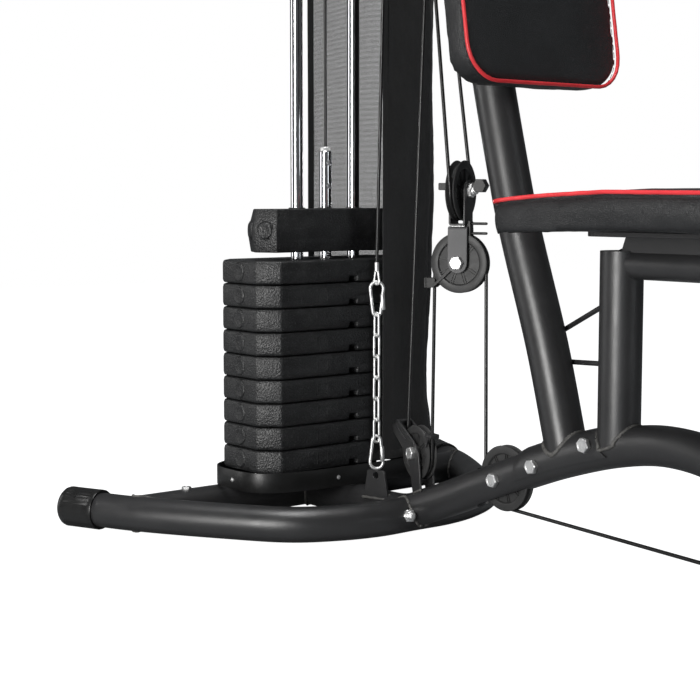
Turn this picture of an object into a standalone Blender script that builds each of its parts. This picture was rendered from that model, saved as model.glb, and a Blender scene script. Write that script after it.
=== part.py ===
"""Multi station home gym: rear weight stack, curved tube frame, floating
pulley block, seat with leg lever, press arm and overhead bar.

Metres, +Z up.  +X is the way the seated user faces, +Y is the user's left.
The geometry is laid out from the selector rod (X = Y = 0, floor Z = 0) and
shifted by X0, so that the origin ends up under the middle of the machine.
"""
import math
import bpy
import bmesh
import numpy as np
from mathutils import Vector, Matrix

for ob in list(bpy.data.objects):
    bpy.data.objects.remove(ob, do_unlink=True)

# ---------------------------------------------------------------- dimensions
X0 = -0.4478              # shift from the selector rod to the machine's middle
GAP = 0.0003              # gap between touching pieces
TUBE_R = 0.0254           # 2 inch round frame tube
TUBE_Z = 0.0295           # axis height of the floor level tubes
CAP_R = TUBE_Z / math.cos(math.pi / 16)   # moulded end caps, also the feet: flats touch Z = 0
ROD_R = 0.0095            # guide and selector rods
ROD_Y = 0.055             # guide rods either side of the selector rod
BOOM_Z = 1.950            # axis of the overhead boom
PLATES = 9                # plates below the top plate
PITCH = 0.035             # one plate and its gap
PLATE_T = 0.0342
PLATE_Z0 = 0.0820         # underside of the lowest plate
PLATE_W = 0.0693          # half depth (X)
PLATE_C = 0.1360          # end of the long side
PLATE_E = 0.1630          # end face
PLATE_N = 0.0430          # half width of the end face
TOP_Z0, TOP_T = 0.4070, 0.0650
CABLE_R = 0.0025
BAND_A, BAND_B = 0.0860, 0.1800      # half axes of the shroud band (X, Y)
SHROUD_Z0, SHROUD_Z1 = 0.0900, 1.7600

P1_C, P1_R = Vector((0.2210, 0.0, 0.1210)), 0.0400     # rear base pulley
P2_C, P2_R = Vector((0.3050, 0.0, 0.3990)), 0.0420     # float block, lower wheel
P2U_C, P2U_R = Vector((0.3050, 0.0, 0.4985)), 0.0420   # float block, upper wheel
P3_C, P3_R = Vector((0.4010, 0.0, 0.1095)), 0.0450     # front base pulley
P4_C, P4_R = Vector((0.9000, 0.0, 0.0880)), 0.0450     # low pulley under the seat
T1_C, T2_C, T3_C = (Vector((x, 0.0, BOOM_Z)) for x in (0.0415, 0.1480, 0.7600))
TOP_R = 0.0450
GUIDE_Z, GUIDE_Y = 1.5000, 0.0450                      # press cable guide wheels
P2_ANGLE = math.radians(24.5)
P1_ANGLE = math.radians(-12.0)
PITCH_R = 0.0035          # cable line below the rim of a wheel
LEVER_PIVOT = Vector((1.0000, 0.0, 0.3950))
PRESS_PIVOT = Vector((0.3600, 0.0, 1.8500))
ARM_WHEEL = Vector((0.5000, 0.0, GUIDE_Z + TOP_R - PITCH_R))
LAT_TOP = Vector((T3_C.x + TOP_R - PITCH_R, 0.0, 1.8000))   # end of the lift cable
LAT_PIVOT = LAT_TOP - Vector((0.0, 0.0, 0.0500))               # where the bar swings in its hook
CHAIN_XY = (0.1450, -0.0180)

# ---------------------------------------------------------------- materials
LOOK = {   # colour, roughness, metallic
    "frame": ((0.030, 0.030, 0.032), 0.42, 0.35), "vinyl": ((0.022, 0.022, 0.023), 0.62, 0.0),
    "chrome": ((0.78, 0.78, 0.78), 0.12, 1.0), "zinc": ((0.70, 0.71, 0.72), 0.28, 1.0),
    "nylon": ((0.035, 0.035, 0.037), 0.5, 0.0), "leather": ((0.018, 0.018, 0.020), 0.45, 0.0),
    "cloth": ((0.020, 0.020, 0.022), 0.9, 0.0), "cap": ((0.015, 0.015, 0.016), 0.3, 0.0),
    "foam": ((0.025, 0.025, 0.026), 0.85, 0.0), "rubber": ((0.02, 0.02, 0.02), 0.8, 0.0),
    "cable": ((0.012, 0.012, 0.013), 0.4, 0.0)}


def material(node, look):
    m = bpy.data.materials.new(node + "_" + look)
    m.use_nodes = True
    b = m.node_tree.nodes["Principled BSDF"]
    c, r, k = LOOK[look]
    b.inputs["Base Color"].default_value = (*c, 1.0)
    b.inputs["Roughness"].default_value = r
    b.inputs["Metallic"].default_value = k
    m.diffuse_color = (*c, 1.0)
    return m


# ---------------------------------------------------------------- helpers
def smooth_path(pts, step):
    """Catmull-Rom curve through pts, sampled about every step metres."""
    p = [Vector(q) for q in pts]
    p = [2 * p[0] - p[1]] + p + [2 * p[-1] - p[-2]]
    out = []
    for i in range(1, len(p) - 2):
        n = max(1, round((p[i + 1] - p[i]).length / step))
        for k in range(n):
            t = k / n
            a, b, c, d = p[i - 1], p[i], p[i + 1], p[i + 2]
            out.append(0.5 * ((2 * b) + (c - a) * t + (2 * a - 5 * b + 4 * c - d) * t * t
                              + (3 * b - a - 3 * c + d) * t ** 3))
    out.append(p[-2])
    return out


def finish(name, bm, look, origin=(0, 0, 0), sharp=35.0, cutter=False):
    bmesh.ops.remove_doubles(bm, verts=bm.verts[:], dist=1e-6)
    bmesh.ops.recalc_face_normals(bm, faces=bm.faces[:])
    if bm.calc_volume(signed=True) < 0:
        bmesh.ops.reverse_faces(bm, faces=bm.faces[:])
    me = bpy.data.meshes.new(name)
    bm.to_mesh(me)
    bm.free()
    o = Vector(origin)
    me.transform(Matrix.Translation(-o))
    me.shade_smooth()
    me.set_sharp_from_angle(angle=math.radians(sharp))
    ob = bpy.data.objects.new(name, me)
    ob.location = o + Vector((X0, 0, 0))
    bpy.context.scene.collection.objects.link(ob)
    if cutter:
        ob.hide_render = True
        ob.display_type = 'WIRE'
    else:
        me.materials.append(material(name, look))
    return ob


def ring_mesh(bm, rings, closed=False):
    vs = [[bm.verts.new(c) for c in ring] for ring in rings]
    n = len(vs[0])
    m = len(vs)
    for i in range(m if closed else m - 1):
        a, b = vs[i], vs[(i + 1) % m]
        for k in range(n):
            bm.faces.new((a[k], a[(k + 1) % n], b[(k + 1) % n], b[k]))
    if not closed:
        bm.faces.new(vs[0][::-1])
        bm.faces.new(vs[-1])


def tube_bm(pts, r, sides=14, phase=0.5, bm=None):
    """Round bar along pts, with parallel-transported rings and mitred joints."""
    bm = bm or bmesh.new()
    p = [Vector(q) for q in pts]
    t = (p[1] - p[0]).normalized()
    u = t.cross(Vector((0, 0, 1)))
    if u.length < 0.05:
        u = t.cross(Vector((0, 1, 0)))
    u.normalize()
    rings = []
    for i, c in enumerate(p):
        ta = (p[i] - p[max(i - 1, 0)]) if i else (p[1] - p[0])
        tb = (p[min(i + 1, len(p) - 1)] - p[i]) if i < len(p) - 1 else ta
        ta.normalize()
        tb.normalize()
        tn = (ta + tb).normalized()
        u = (u - tn * u.dot(tn)).normalized()
        w = tn.cross(u)
        k = 1.0 / max(0.5, tn.dot(tb))
        bend = tb - ta
        bend = bend.normalized() if bend.length > 1e-4 else None
        ring = []
        for s in range(sides):
            a = 2 * math.pi * (s + phase) / sides
            off = (u * math.cos(a) + w * math.sin(a)) * r
            if bend is not None:
                off += bend * off.dot(bend) * (k - 1.0)
            ring.append(c + off)
        rings.append(ring)
    ring_mesh(bm, rings)
    return bm


def tube(name, pts, r, look, sides=14, origin=(0, 0, 0), cutter=False, phase=0.5):
    return finish(name, tube_bm(pts, r, sides, phase), look, origin, cutter=cutter)


def clear_of(name, pts, r=TUBE_R, sides=14):
    """Cutter that clears a round tube: its flats lie GAP outside the tube's radius."""
    return tube(name, pts, (r + GAP) / math.cos(math.pi / sides), "frame", sides, cutter=True)


def prism_bm(poly, axis, lo, hi, bm=None):
    """Extrude a 2-D outline along X, Y or Z between lo and hi."""
    bm = bm or bmesh.new()
    put = {"X": lambda a, b, h: (h, a, b), "Y": lambda a, b, h: (a, h, b),
           "Z": lambda a, b, h: (a, b, h)}[axis]
    ring_mesh(bm, [[put(a, b, h) for a, b in poly] for h in (lo, hi)])
    return bm


def prism(name, poly, axis, lo, hi, look, origin=(0, 0, 0), cutter=False, turn=None, about=None):
    bm = prism_bm(poly, axis, lo, hi)
    if turn:
        bmesh.ops.rotate(bm, verts=bm.verts[:], cent=about, matrix=turn)
    return finish(name, bm, look, origin, cutter=cutter)


def box_poly(a0, a1, b0, b1):
    return [(a0, b0), (a1, b0), (a1, b1), (a0, b1)]


def block(name, lo, hi, look="frame", origin=(0, 0, 0), cutter=False, turn=None, about=None):
    return prism(name, box_poly(lo[0], hi[0], lo[1], hi[1]), "Z", lo[2], hi[2], look, origin,
                 cutter, turn, about)


def revolve_bm(profile, centre, axis, sides=16, start=None):
    """Turn a closed (radius, height) outline about an axis through centre."""
    bm = bmesh.new()
    ax = Vector(axis).normalized()
    u = ax.orthogonal().normalized() if start is None else Vector(start)
    w = ax.cross(u)
    c = Vector(centre)
    rings = []
    for s in range(sides):
        a = 2 * math.pi * s / sides
        e = u * math.cos(a) + w * math.sin(a)
        rings.append([c + e * r + ax * h for r, h in profile])
    ring_mesh(bm, rings, closed=True)
    return bm


def boolean(ob, other, op):
    m = ob.modifiers.new(op.title(), 'BOOLEAN')
    m.operation = op
    m.solver = 'EXACT'
    m.object = other


def cut(ob, *others):
    for o in others:
        boolean(ob, o, 'DIFFERENCE')


def weld(ob, *others):
    for o in others:
        boolean(ob, o, 'UNION')


def rot_z(a):
    return Matrix.Rotation(a, 3, 'Z')


def rounded(w, h, r, n=4, cx=0.0, cy=0.0):
    """Rounded rectangle outline."""
    out = []
    for qx, qy, a0 in ((1, 1, 0), (-1, 1, 90), (-1, -1, 180), (1, -1, 270)):
        for k in range(n + 1):
            a = math.radians(a0 + 90 * k / n)
            out.append((cx + qx * (w - r) + r * math.cos(a), cy + qy * (h - r) + r * math.sin(a)))
    return out


# ---------------------------------------------------------------- base frame
MAIN = [(-0.045, TUBE_Z), (0.080, TUBE_Z), (0.185, TUBE_Z), (0.2435, 0.0475), (0.303, 0.070),
        (0.363, 0.095), (0.425, 0.1195), (0.510, 0.151), (0.600, 0.177), (0.680, 0.1880),
        (0.760, 0.1780), (0.840, 0.1450), (0.920, 0.1000), (0.9750, 0.0620), (1.0100, TUBE_Z)]
main_pts = smooth_path([(x, 0, z) for x, z in MAIN], 0.035)
ARC = [(0.2080, 0.0), (0.2080, 0.067), (0.1920, 0.130), (0.1570, 0.190), (0.0850, 0.2430),
       (-0.0360, 0.3160), (-0.1500, 0.3640)]
CROSS_X = -0.045
STAB_X, STAB_Y = 1.0100, 0.2700

base = tube("base_main_tube", main_pts, TUBE_R, "frame")
stab = {}
arcs = {}
for side, sy in (("right", -1), ("left", 1)):
    pts = smooth_path([(x, sy * y, TUBE_Z) for x, y in ARC], 0.035)
    arcs[side] = pts
    stab[side] = tube("rear_stabilizer_" + side, pts, TUBE_R, "frame")
near_cross = min(arcs["left"], key=lambda p: abs(p.x - CROSS_X))
CROSS_Y = near_cross.y + (near_cross.x - CROSS_X) * 0.60
cross = tube("stack_cross_tube", [(CROSS_X, -CROSS_Y, TUBE_Z), (CROSS_X, -0.1, TUBE_Z),
                                  (CROSS_X, 0.1, TUBE_Z), (CROSS_X, CROSS_Y, TUBE_Z)], TUBE_R, "frame")
front = tube("front_stabilizer", [(STAB_X, -STAB_Y, TUBE_Z), (STAB_X, 0, TUBE_Z),
                                  (STAB_X, STAB_Y, TUBE_Z)], TUBE_R, "frame")

c_main = clear_of("c_main", main_pts)
c_arc = {s: clear_of("c_arc_" + s, arcs[s]) for s in arcs}
c_cross = clear_of("c_cross", [(CROSS_X, -0.33, TUBE_Z), (CROSS_X, 0.33, TUBE_Z)])
c_front = clear_of("c_front", [(STAB_X, -0.3, TUBE_Z), (STAB_X, 0.3, TUBE_Z)])
slot3 = block("c_slot3", (P3_C.x - 0.052, -0.0105, 0.02), (P3_C.x + 0.052, 0.0105, 0.22), cutter=True)
slot4 = block("c_slot4", (P4_C.x - 0.052, -0.0105, 0.02), (P4_C.x + 0.052, 0.0105, 0.22), cutter=True)
cut(base, c_cross, c_front, slot3, slot4)
c_mid = block("c_mid", (0.10, -0.018, -0.02), (0.30, 0.018, 0.10), cutter=True)
for s in stab:
    cut(stab[s], c_main, c_mid)
cut(cross, c_arc["right"], c_arc["left"])


def end_cap(name, p, d, long=0.055):
    """Moulded cap: a collar round the tube end, closed by a slightly domed face."""
    d = Vector(d).normalized()
    inner = (TUBE_R + GAP) / math.cos(math.pi / 16)
    prof = [(inner, -long), (CAP_R, -long), (CAP_R, 0.004), (CAP_R - 0.004, 0.0085),
            (0.0006, 0.0100), (0.0006, GAP), (inner, GAP)]
    up = Vector((0, 0, 1))
    u = (up - d * up.dot(d)).normalized()
    u = (Matrix.Rotation(math.pi / 16, 3, d) @ u)
    bm = revolve_bm(prof, p, d, 16, u)
    return finish(name, bm, "cap")


for side in ("right", "left"):
    a, b = arcs[side][-2], arcs[side][-1]
    end_cap("rear_cap_" + side, b, b - a)
end_cap("front_cap_right", Vector((STAB_X, -STAB_Y, TUBE_Z)), (0, -1, 0))
end_cap("front_cap_left", Vector((STAB_X, STAB_Y, TUBE_Z)), (0, 1, 0))

# ---------------------------------------------------------------- uprights
UP = [(0.5140, 0.1530), (0.5080, 0.170), (0.4727, 0.296), (0.4250, 0.433), (0.3990, 0.519),
      (0.3500, 0.720), (0.3130, 0.930), (0.2800, 1.200), (0.2570, 1.500), (0.2440, 1.800),
      (0.2420, BOOM_Z)]
up_pts = smooth_path([(x, 0, z) for x, z in UP], 0.10)
upright = tube("main_upright", up_pts, TUBE_R, "frame")

# saddle: half sleeve that hugs the base tube under the upright
sad = []
for p in main_pts:
    if 0.440 < p.x < 0.590:
        sad.append(p)
SAD_IN, SAD_OUT = TUBE_R + 2 * GAP, TUBE_R + 0.0038
bm = bmesh.new()
rings = []
SAD_N = 12
sx = np.linspace(0.452, 0.584, 6)
mz = lambda x: float(np.interp(x, [p.x for p in main_pts], [p.z for p in main_pts]))
for i, x in enumerate(sx):
    sl = (mz(x + 0.004) - mz(x - 0.004)) / 0.008
    nrm = Vector((-sl, 0, 1)).normalized()
    tan = Vector((1, 0, sl)).normalized()
    ring = []
    for r_, order in ((SAD_OUT, range(SAD_N + 1)), (SAD_IN, range(SAD_N, -1, -1))):
        for k in order:
            a = math.radians(-118 + 236 * k / SAD_N)
            skew = 0.0
            if i == len(sx) - 1:
                skew = 0.012 * (abs(a) / 2.06) ** 2 - 0.004
            if i == 0:
                skew = -0.010 * (abs(a) / 2.06) ** 2
            ring.append(Vector((x, 0, mz(x))) + tan * skew
                        + (nrm * math.cos(a) + Vector((0, 1, 0)) * math.sin(a)) * r_)
    rings.append(ring)
ring_mesh(bm, rings)
saddle = finish("c_saddle", bm, "frame", cutter=True)
c_boom = clear_of("c_boom", [(-0.1, 0, BOOM_Z), (0.9, 0, BOOM_Z)])
cut(upright, c_main, c_boom)
weld(upright, saddle)

boom = tube("top_boom", [(-0.060, 0, BOOM_Z), (0.2, 0, BOOM_Z), (0.5, 0, BOOM_Z), (0.8300, 0, BOOM_Z)],
            TUBE_R, "frame")
lug = [(0.330, BOOM_Z - 0.012), (0.390, BOOM_Z - 0.012), (0.385, PRESS_PIVOT.z - 0.012),
       (0.372, PRESS_PIVOT.z - 0.024), (0.348, PRESS_PIVOT.z - 0.024), (0.335, PRESS_PIVOT.z - 0.012)]
l1 = prism("c_lug1", lug, "Y", -0.0235, -0.0185, "frame", cutter=True)
l2 = prism("c_lug2", lug, "Y", 0.0185, 0.0235, "frame", cutter=True)
rodplate = block("c_rodplate", (-0.030, -0.085, BOOM_Z - TUBE_R - 0.005), (0.030, 0.085, BOOM_Z - TUBE_R + 0.004),
                 cutter=True)
slot_r = block("c_slot_r", (-0.014, -0.0105, 1.90), (0.2080, 0.0105, 2.00), cutter=True)
slot_f = block("c_slot_f", (T3_C.x - 0.052, -0.0105, 1.90), (T3_C.x + 0.056, 0.0105, 2.00), cutter=True)
weld(boom, l1, l2, rodplate)
cut(boom, slot_r, slot_f)

# seat post with the seat rail, the roller tube and the lever's fork
POST_X, POST_R = 0.6040, 0.0250
RAIL_Z = 0.4080
post = tube("seat_post", [(POST_X, 0, mz(POST_X)), (POST_X, 0, 0.28), (POST_X, 0, RAIL_Z + 0.016)], POST_R,
            "frame", sides=16)
rail = tube("c_rail", [(POST_X + 0.002, 0, RAIL_Z), (0.962, 0, RAIL_Z)], 0.0190, "frame", sides=16, cutter=True)
pan = block("c_pan", (0.575, -0.085, 0.4300), (0.850, 0.085, 0.4372), cutter=True)
pan_rib = block("c_panrib", (0.600, -0.012, 0.405), (0.840, 0.012, 0.4330), cutter=True)
fork = [(0.935, 0.390), (0.985, 0.372), (1.012, 0.378), (1.020, 0.395), (1.012, 0.412), (0.985, 0.430),
        (0.960, 0.470), (0.940, 0.470)]
f1 = prism("c_fork1", fork, "Y", -0.0270, -0.0210, "frame", cutter=True)
f2 = prism("c_fork2", fork, "Y", 0.0210, 0.0270, "frame", cutter=True)
fbase = block("c_forkbase", (0.9340, -0.0268, 0.3940), (0.9600, 0.0268, 0.4300), cutter=True)
UR = (0.9560, 0.4560)                                   # upper roller axis (X, Z)
uroll = tube("c_uroll", [(UR[0], -0.205, UR[1]), (UR[0], 0.205, UR[1])], 0.0125, "frame", sides=12, cutter=True)
weld(post, rail, pan, pan_rib, fbase, f1, f2, uroll)
cut(post, c_main)

# thin bent brace between the upright and the seat post
brace = tube("seat_brace", [(POST_X - POST_R - 0.0006, 0.0, 0.3800), (0.5080, 0.0, 0.2860),
                            (0.5050, 0.0, 0.2790), (0.5080, 0.0, 0.2745), (POST_X - POST_R - 0.0006, 0.0, 0.2700)],
             0.0034, "frame", sides=8)
c_up = clear_of("c_up", up_pts)
c_post = clear_of("c_post", [(POST_X, 0, 0.20), (POST_X, 0, 0.45)], POST_R, 16)
cut(brace, c_up, c_post)

# ---------------------------------------------------------------- weight stack
base_plate = block("stack_base_plate", (-0.062, -0.090, TUBE_Z + TUBE_R + GAP), (0.045, 0.090, 0.0610))
buffer = prism("stack_buffer", rounded(0.030, 0.085, 0.012, 3), "Z", 0.0613, PLATE_Z0 - GAP, "rubber")
for s in (-1, 1):
    c = tube("c_rodhole%d" % (s + 1), [(0, s * ROD_Y, 0.0612), (0, s * ROD_Y, 0.60)], ROD_R + 0.0010, "chrome",
             sides=12, cutter=True)
    cut(buffer, c)
tube("guide_rod_right", [(0, -ROD_Y, 0.0613), (0, -ROD_Y, 1.0), (0, -ROD_Y, BOOM_Z - TUBE_R - 0.0053)], ROD_R,
     "chrome", sides=16)
tube("guide_rod_left", [(0, ROD_Y, 0.0613), (0, ROD_Y, 1.0), (0, ROD_Y, BOOM_Z - TUBE_R - 0.0053)], ROD_R,
     "chrome", sides=16)

OUT8 = [(PLATE_W, PLATE_C), (PLATE_N, PLATE_E), (-PLATE_N, PLATE_E), (-PLATE_W, PLATE_C),
        (-PLATE_W, -PLATE_C), (-PLATE_N, -PLATE_E), (PLATE_N, -PLATE_E), (PLATE_W, -PLATE_C)]
holes = [tube("c_plate_hole%d" % i, [(0, y, 0.06), (0, y, 0.60)], r, "vinyl", sides=12, cutter=True)
         for i, (y, r) in enumerate(((-ROD_Y, ROD_R + 0.0012), (0.0, ROD_R + 0.0008), (ROD_Y, ROD_R + 0.0012)))]
for i in range(PLATES):
    z = PLATE_Z0 + i * PITCH
    p = prism("weight_plate_%d" % (i + 1), OUT8, "Z", z, z + PLATE_T, "vinyl", origin=(0, 0, z))
    cut(p, *holes)
TW, TC, TE, TN = 0.0370, 0.1205, 0.1360, 0.0030
top = [(TW, TC), (TN, TE), (-TN, TE), (-TW, TC), (-TW, -TC), (-TN, -TE), (TN, -TE), (TW, -TC)]
bm = bmesh.new()
lay = ((TOP_Z0, 0.003), (TOP_Z0 + 0.026, 0.0), (TOP_Z0 + 0.050, 0.0015), (TOP_Z0 + TOP_T, 0.006))
ring_mesh(bm, [[(x * (1 - d / TW), y - math.copysign(d, y), z) for x, y in top] for z, d in lay])
head = finish("top_plate", bm, "vinyl", origin=(0, 0, TOP_Z0), sharp=20)
cut(head, *holes)
SEL_TOP = TOP_Z0 + TOP_T + 0.088
tube("selector_rod", [(0, 0, PLATE_Z0 + 0.002), (0, 0, 0.25), (0, 0, SEL_TOP)], ROD_R, "chrome", sides=12,
     origin=(0, 0, TOP_Z0))

# band round the foot of the stack, and the shroud curtain round its left half
def oval(a, b, n=36, p=3.4):
    out = []
    for k in range(n):
        t = 2 * math.pi * k / n
        c, s = math.cos(t), math.sin(t)
        out.append((a * math.copysign(abs(c) ** (2 / p), c), b * math.copysign(abs(s) ** (2 / p), s)))
    return out


bm = bmesh.new()
o, q = oval(BAND_A, BAND_B), oval(BAND_A - 0.0025, BAND_B - 0.0025)
BAND_Z0, BAND_Z1 = 0.0560, 0.0850
ring_mesh(bm, [[(a[0], a[1], BAND_Z0), (a[0], a[1], BAND_Z1), (b[0], b[1], BAND_Z1), (b[0], b[1], BAND_Z0)]
               for a, b in zip(o, q)], closed=True)
finish("shroud_band", bm, "cap")

SHX, SHY, SHR = 0.0930, 0.1880, 0.0600
path = [(SHX, 0.0370), (SHX, 0.085), (SHX, SHY - SHR)]
path += [(SHX - SHR + SHR * math.cos(math.radians(a)), SHY - SHR + SHR * math.sin(math.radians(a)))
         for a in (18, 36, 54, 72, 90)]
path += [(0.0, SHY)]
path += [(-x, y) for x, y in path[-2::-1]]
bm = bmesh.new()
n = len(path)
outer, inner = [], []
for i, (x, y) in enumerate(path):
    a, b = Vector(path[max(i - 1, 0)]), Vector(path[min(i + 1, n - 1)])
    t = (b - a).normalized()
    nr = Vector((t.y, -t.x))
    outer.append(Vector((x, y)) + nr * 0.0015)
    inner.append(Vector((x, y)) - nr * 0.0015)
ring_mesh(bm, [[(p.x, p.y, z) for p in outer + inner[::-1]] for z in
               (SHROUD_Z0, (SHROUD_Z0 + SHROUD_Z1) / 2, SHROUD_Z1)])
finish("shroud", bm, "cloth")
# hanger: hoop inside the top of the curtain, on a bar clamped to the guide rods
hoop = smooth_path([(0.0870, 0.0400, 1.740), (0.0870, 0.1280, 1.740), (0.0700, 0.1650, 1.740), (0.0300, 0.1810, 1.740),
                    (-0.0300, 0.1810, 1.740), (-0.0700, 0.1650, 1.740), (-0.0870, 0.1280, 1.740),
                    (-0.0870, 0.0400, 1.740)], 0.03)
hang = tube("shroud_hanger", hoop, 0.0035, "frame", sides=8)
hbar = block("c_hbar", (-0.0870, ROD_Y - 0.016, 1.7340), (0.0870, ROD_Y + 0.016, 1.7460), cutter=True)
c_hole = tube("c_hanghole", [(0, ROD_Y, 1.70), (0, ROD_Y, 1.78)], ROD_R + GAP, "frame", sides=16, cutter=True)
weld(hang, hbar)
cut(hang, c_hole)

# ---------------------------------------------------------------- pulleys
def wheel(name, centre, axis, r, half=0.0070, sides=18):
    prof = [(0.0054, -half - 0.0010), (0.0120, -half - 0.0010), (0.0120, -half), (r, -half),
            (r - 0.0085, 0.0), (r, half), (0.0120, half), (0.0120, half + 0.0010), (0.0054, half + 0.0010)]
    return finish(name, revolve_bm(prof, centre, axis, sides), "nylon", origin=centre, sharp=30)


E2 = Vector((math.cos(P2_ANGLE), math.sin(P2_ANGLE), 0))      # plane of the lower float wheel
N2 = Vector((math.sin(P2_ANGLE), -math.cos(P2_ANGLE), 0))     # its axis, towards the right side
E1 = Vector((math.cos(P1_ANGLE), math.sin(P1_ANGLE), 0))
N1 = Vector((math.sin(P1_ANGLE), -math.cos(P1_ANGLE), 0))
wheel("base_pulley_rear", P1_C, N1, P1_R)
wheel("base_pulley_front", P3_C, (0, 1, 0), P3_R)
wheel("base_pulley_low", P4_C, (0, 1, 0), P4_R)
wheel("float_pulley_lower", P2_C, N2, P2_R)
wheel("float_pulley_upper", P2U_C, E2, P2U_R)
wheel("top_pulley_rear", T1_C, (0, 1, 0), TOP_R)
wheel("top_pulley_middle", T2_C, (0, 1, 0), TOP_R)
wheel("top_pulley_front", T3_C, (0, 1, 0), TOP_R)
upx = lambda z: float(np.interp(z, [p.z for p in up_pts], [p.x for p in up_pts]))
GUIDE_X = upx(GUIDE_Z)
wheel("guide_pulley_right", Vector((GUIDE_X, -GUIDE_Y, GUIDE_Z)), (0, 1, 0), TOP_R)
wheel("guide_pulley_left", Vector((GUIDE_X, GUIDE_Y, GUIDE_Z)), (0, 1, 0), TOP_R)
wheel("press_pulley", ARM_WHEEL, (0, 0, 1), TOP_R)

# float block: two U straps welded back to back, turned a quarter turn to each other
def u_strap(name, centre, ang, r, web_z, end_z, width, up):
    """U strap: two legs either side of a wheel, joined by a web at web_z."""
    t, inside = 0.0030, 0.0093
    lo, hi = (end_z, web_z) if up else (web_z, end_z)
    w = width / 2
    side = [(-w, web_z), (w, web_z)]
    arc = []
    for k in range(7):
        a = math.radians(180 * k / 6)
        arc.append((w * math.cos(a), end_z + (-1 if up else 1) * w * math.sin(a) * 0.85))
    outline = [(-w, web_z), (w, web_z)] + arc
    bm = prism_bm([(x, z) for x, z in outline], "Y", -inside - t, inside + t)
    bmesh.ops.translate(bm, verts=bm.verts[:], vec=(centre.x, centre.y, 0))
    bmesh.ops.rotate(bm, verts=bm.verts[:], cent=(centre.x, centre.y, 0), matrix=rot_z(ang))
    ob = finish(name, bm, "frame", origin=(centre.x, centre.y, web_z))
    za, zb = (end_z - 0.05, web_z - t) if up else (web_z + t, end_z + 0.05)
    c = block("c_" + name, (centre.x - 0.05, -inside, za), (centre.x + 0.05, inside, zb), cutter=True,
              turn=rot_z(ang), about=(centre.x, 0, 0))
    cut(ob, c)
    return ob


WEB = 0.4500
u_strap("float_bracket_lower", P2_C, P2_ANGLE, P2_R, WEB - GAP, P2_C.z, 0.0290, True)
u_strap("float_bracket_upper", P2U_C, P2_ANGLE + math.pi / 2, P2U_R, WEB + GAP, P2U_C.z, 0.0290, False)

# bracket of the rear base pulley: cranked U plate welded on the base tube
crank = [(0.2270, 0.0400), (0.2480, 0.0400), (0.2410, 0.100), (0.2350, 0.130), (0.2240, 0.1400), (0.1760, 0.1640),
         (0.1600, 0.1560), (0.1640, 0.1450), (0.2040, 0.1150), (0.2130, 0.1000)]
rb = prism("rear_pulley_bracket", crank, "Y", -0.0125, 0.0125, "frame", turn=rot_z(P1_ANGLE),
           about=(P1_C.x, 0, 0))
c1 = prism("c_rb1", [(0.1780, 0.030), (0.260, 0.030), (0.260, 0.20), (0.1800, 0.20), (0.1720, 0.1480)], "Y",
           -0.0093, 0.0093, "frame", cutter=True, turn=rot_z(P1_ANGLE), about=(P1_C.x, 0, 0))
cut(rb, c1, c_main)

# ---------------------------------------------------------------- chain
CX, CY = CHAIN_XY
anchor = prism("chain_anchor", [(CX - 0.0235, 0.030), (CX + 0.0235, 0.030), (CX + 0.0165, 0.080), (CX + 0.010, 0.0865),
                                (CX - 0.010, 0.0865), (CX - 0.0165, 0.080)], "Y", CY - 0.002, CY + 0.002, "frame")
cut(anchor, c_main)
tube("tension_chain", [(CX, CY, 0.0870), (CX, CY, 0.2), (CX, CY, 0.3700)], 0.0060, "zinc", sides=8)

# ---------------------------------------------------------------- cables
def bezier_less_arc(c, e, up, r, a0, a1, n):
    """Points on a wheel's cable line: centre c, in-plane axes e and up."""
    return [c + (e * math.cos(math.radians(a0 + (a1 - a0) * k / n))
                 + up * math.sin(math.radians(a0 + (a1 - a0) * k / n))) * r for k in range(n + 1)]


UPV, EX, EY = Vector((0, 0, 1)), Vector((1, 0, 0)), Vector((0, 1, 0))
rr = lambda r: r - PITCH_R
NF = Vector((math.sin(P2_ANGLE), -math.cos(P2_ANGLE), 0))
low = [Vector((CX, CY, 0.3706)), Vector((CX, CY, 0.395))]
low += bezier_less_arc(Vector((GUIDE_X, -GUIDE_Y, GUIDE_Z)), EX, UPV, rr(TOP_R), 180, 90, 4)
low += bezier_less_arc(ARM_WHEEL, EX, EY, rr(TOP_R), -90, 90, 8)
low += bezier_less_arc(Vector((GUIDE_X, GUIDE_Y, GUIDE_Z)), EX, UPV, rr(TOP_R), 90, 180, 4)
low += bezier_less_arc(P1_C, E1, UPV, rr(P1_R), 180, 360, 8)
low += bezier_less_arc(P2_C, E2, UPV, rr(P2_R), 180, 0, 8)
low += bezier_less_arc(P3_C, EX, UPV, rr(P3_R), 180, 268, 4)
low += bezier_less_arc(P4_C, EX, UPV, rr(P4_R), 266, 360, 4)
low += [Vector((0.9625, 0.0, 0.1985))]
tube("lower_cable", low, CABLE_R, "cable", sides=6)
lift = [Vector((0, 0, SEL_TOP + 0.0006)), Vector((0, 0, 1.2))]
lift += bezier_less_arc(T1_C, EX, UPV, rr(TOP_R), 180, 4, 8)
lift += bezier_less_arc(P2U_C, -NF, UPV, rr(P2U_R), 0, -180, 8)
lift += bezier_less_arc(T2_C, EX, UPV, rr(TOP_R), 176, 90, 4)
lift += bezier_less_arc(T3_C, EX, UPV, rr(TOP_R), 90, 0, 4)
lift += [LAT_TOP + Vector((0, 0, 0.0006))]
tube("lift_cable", lift, CABLE_R, "cable", sides=6)

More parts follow.
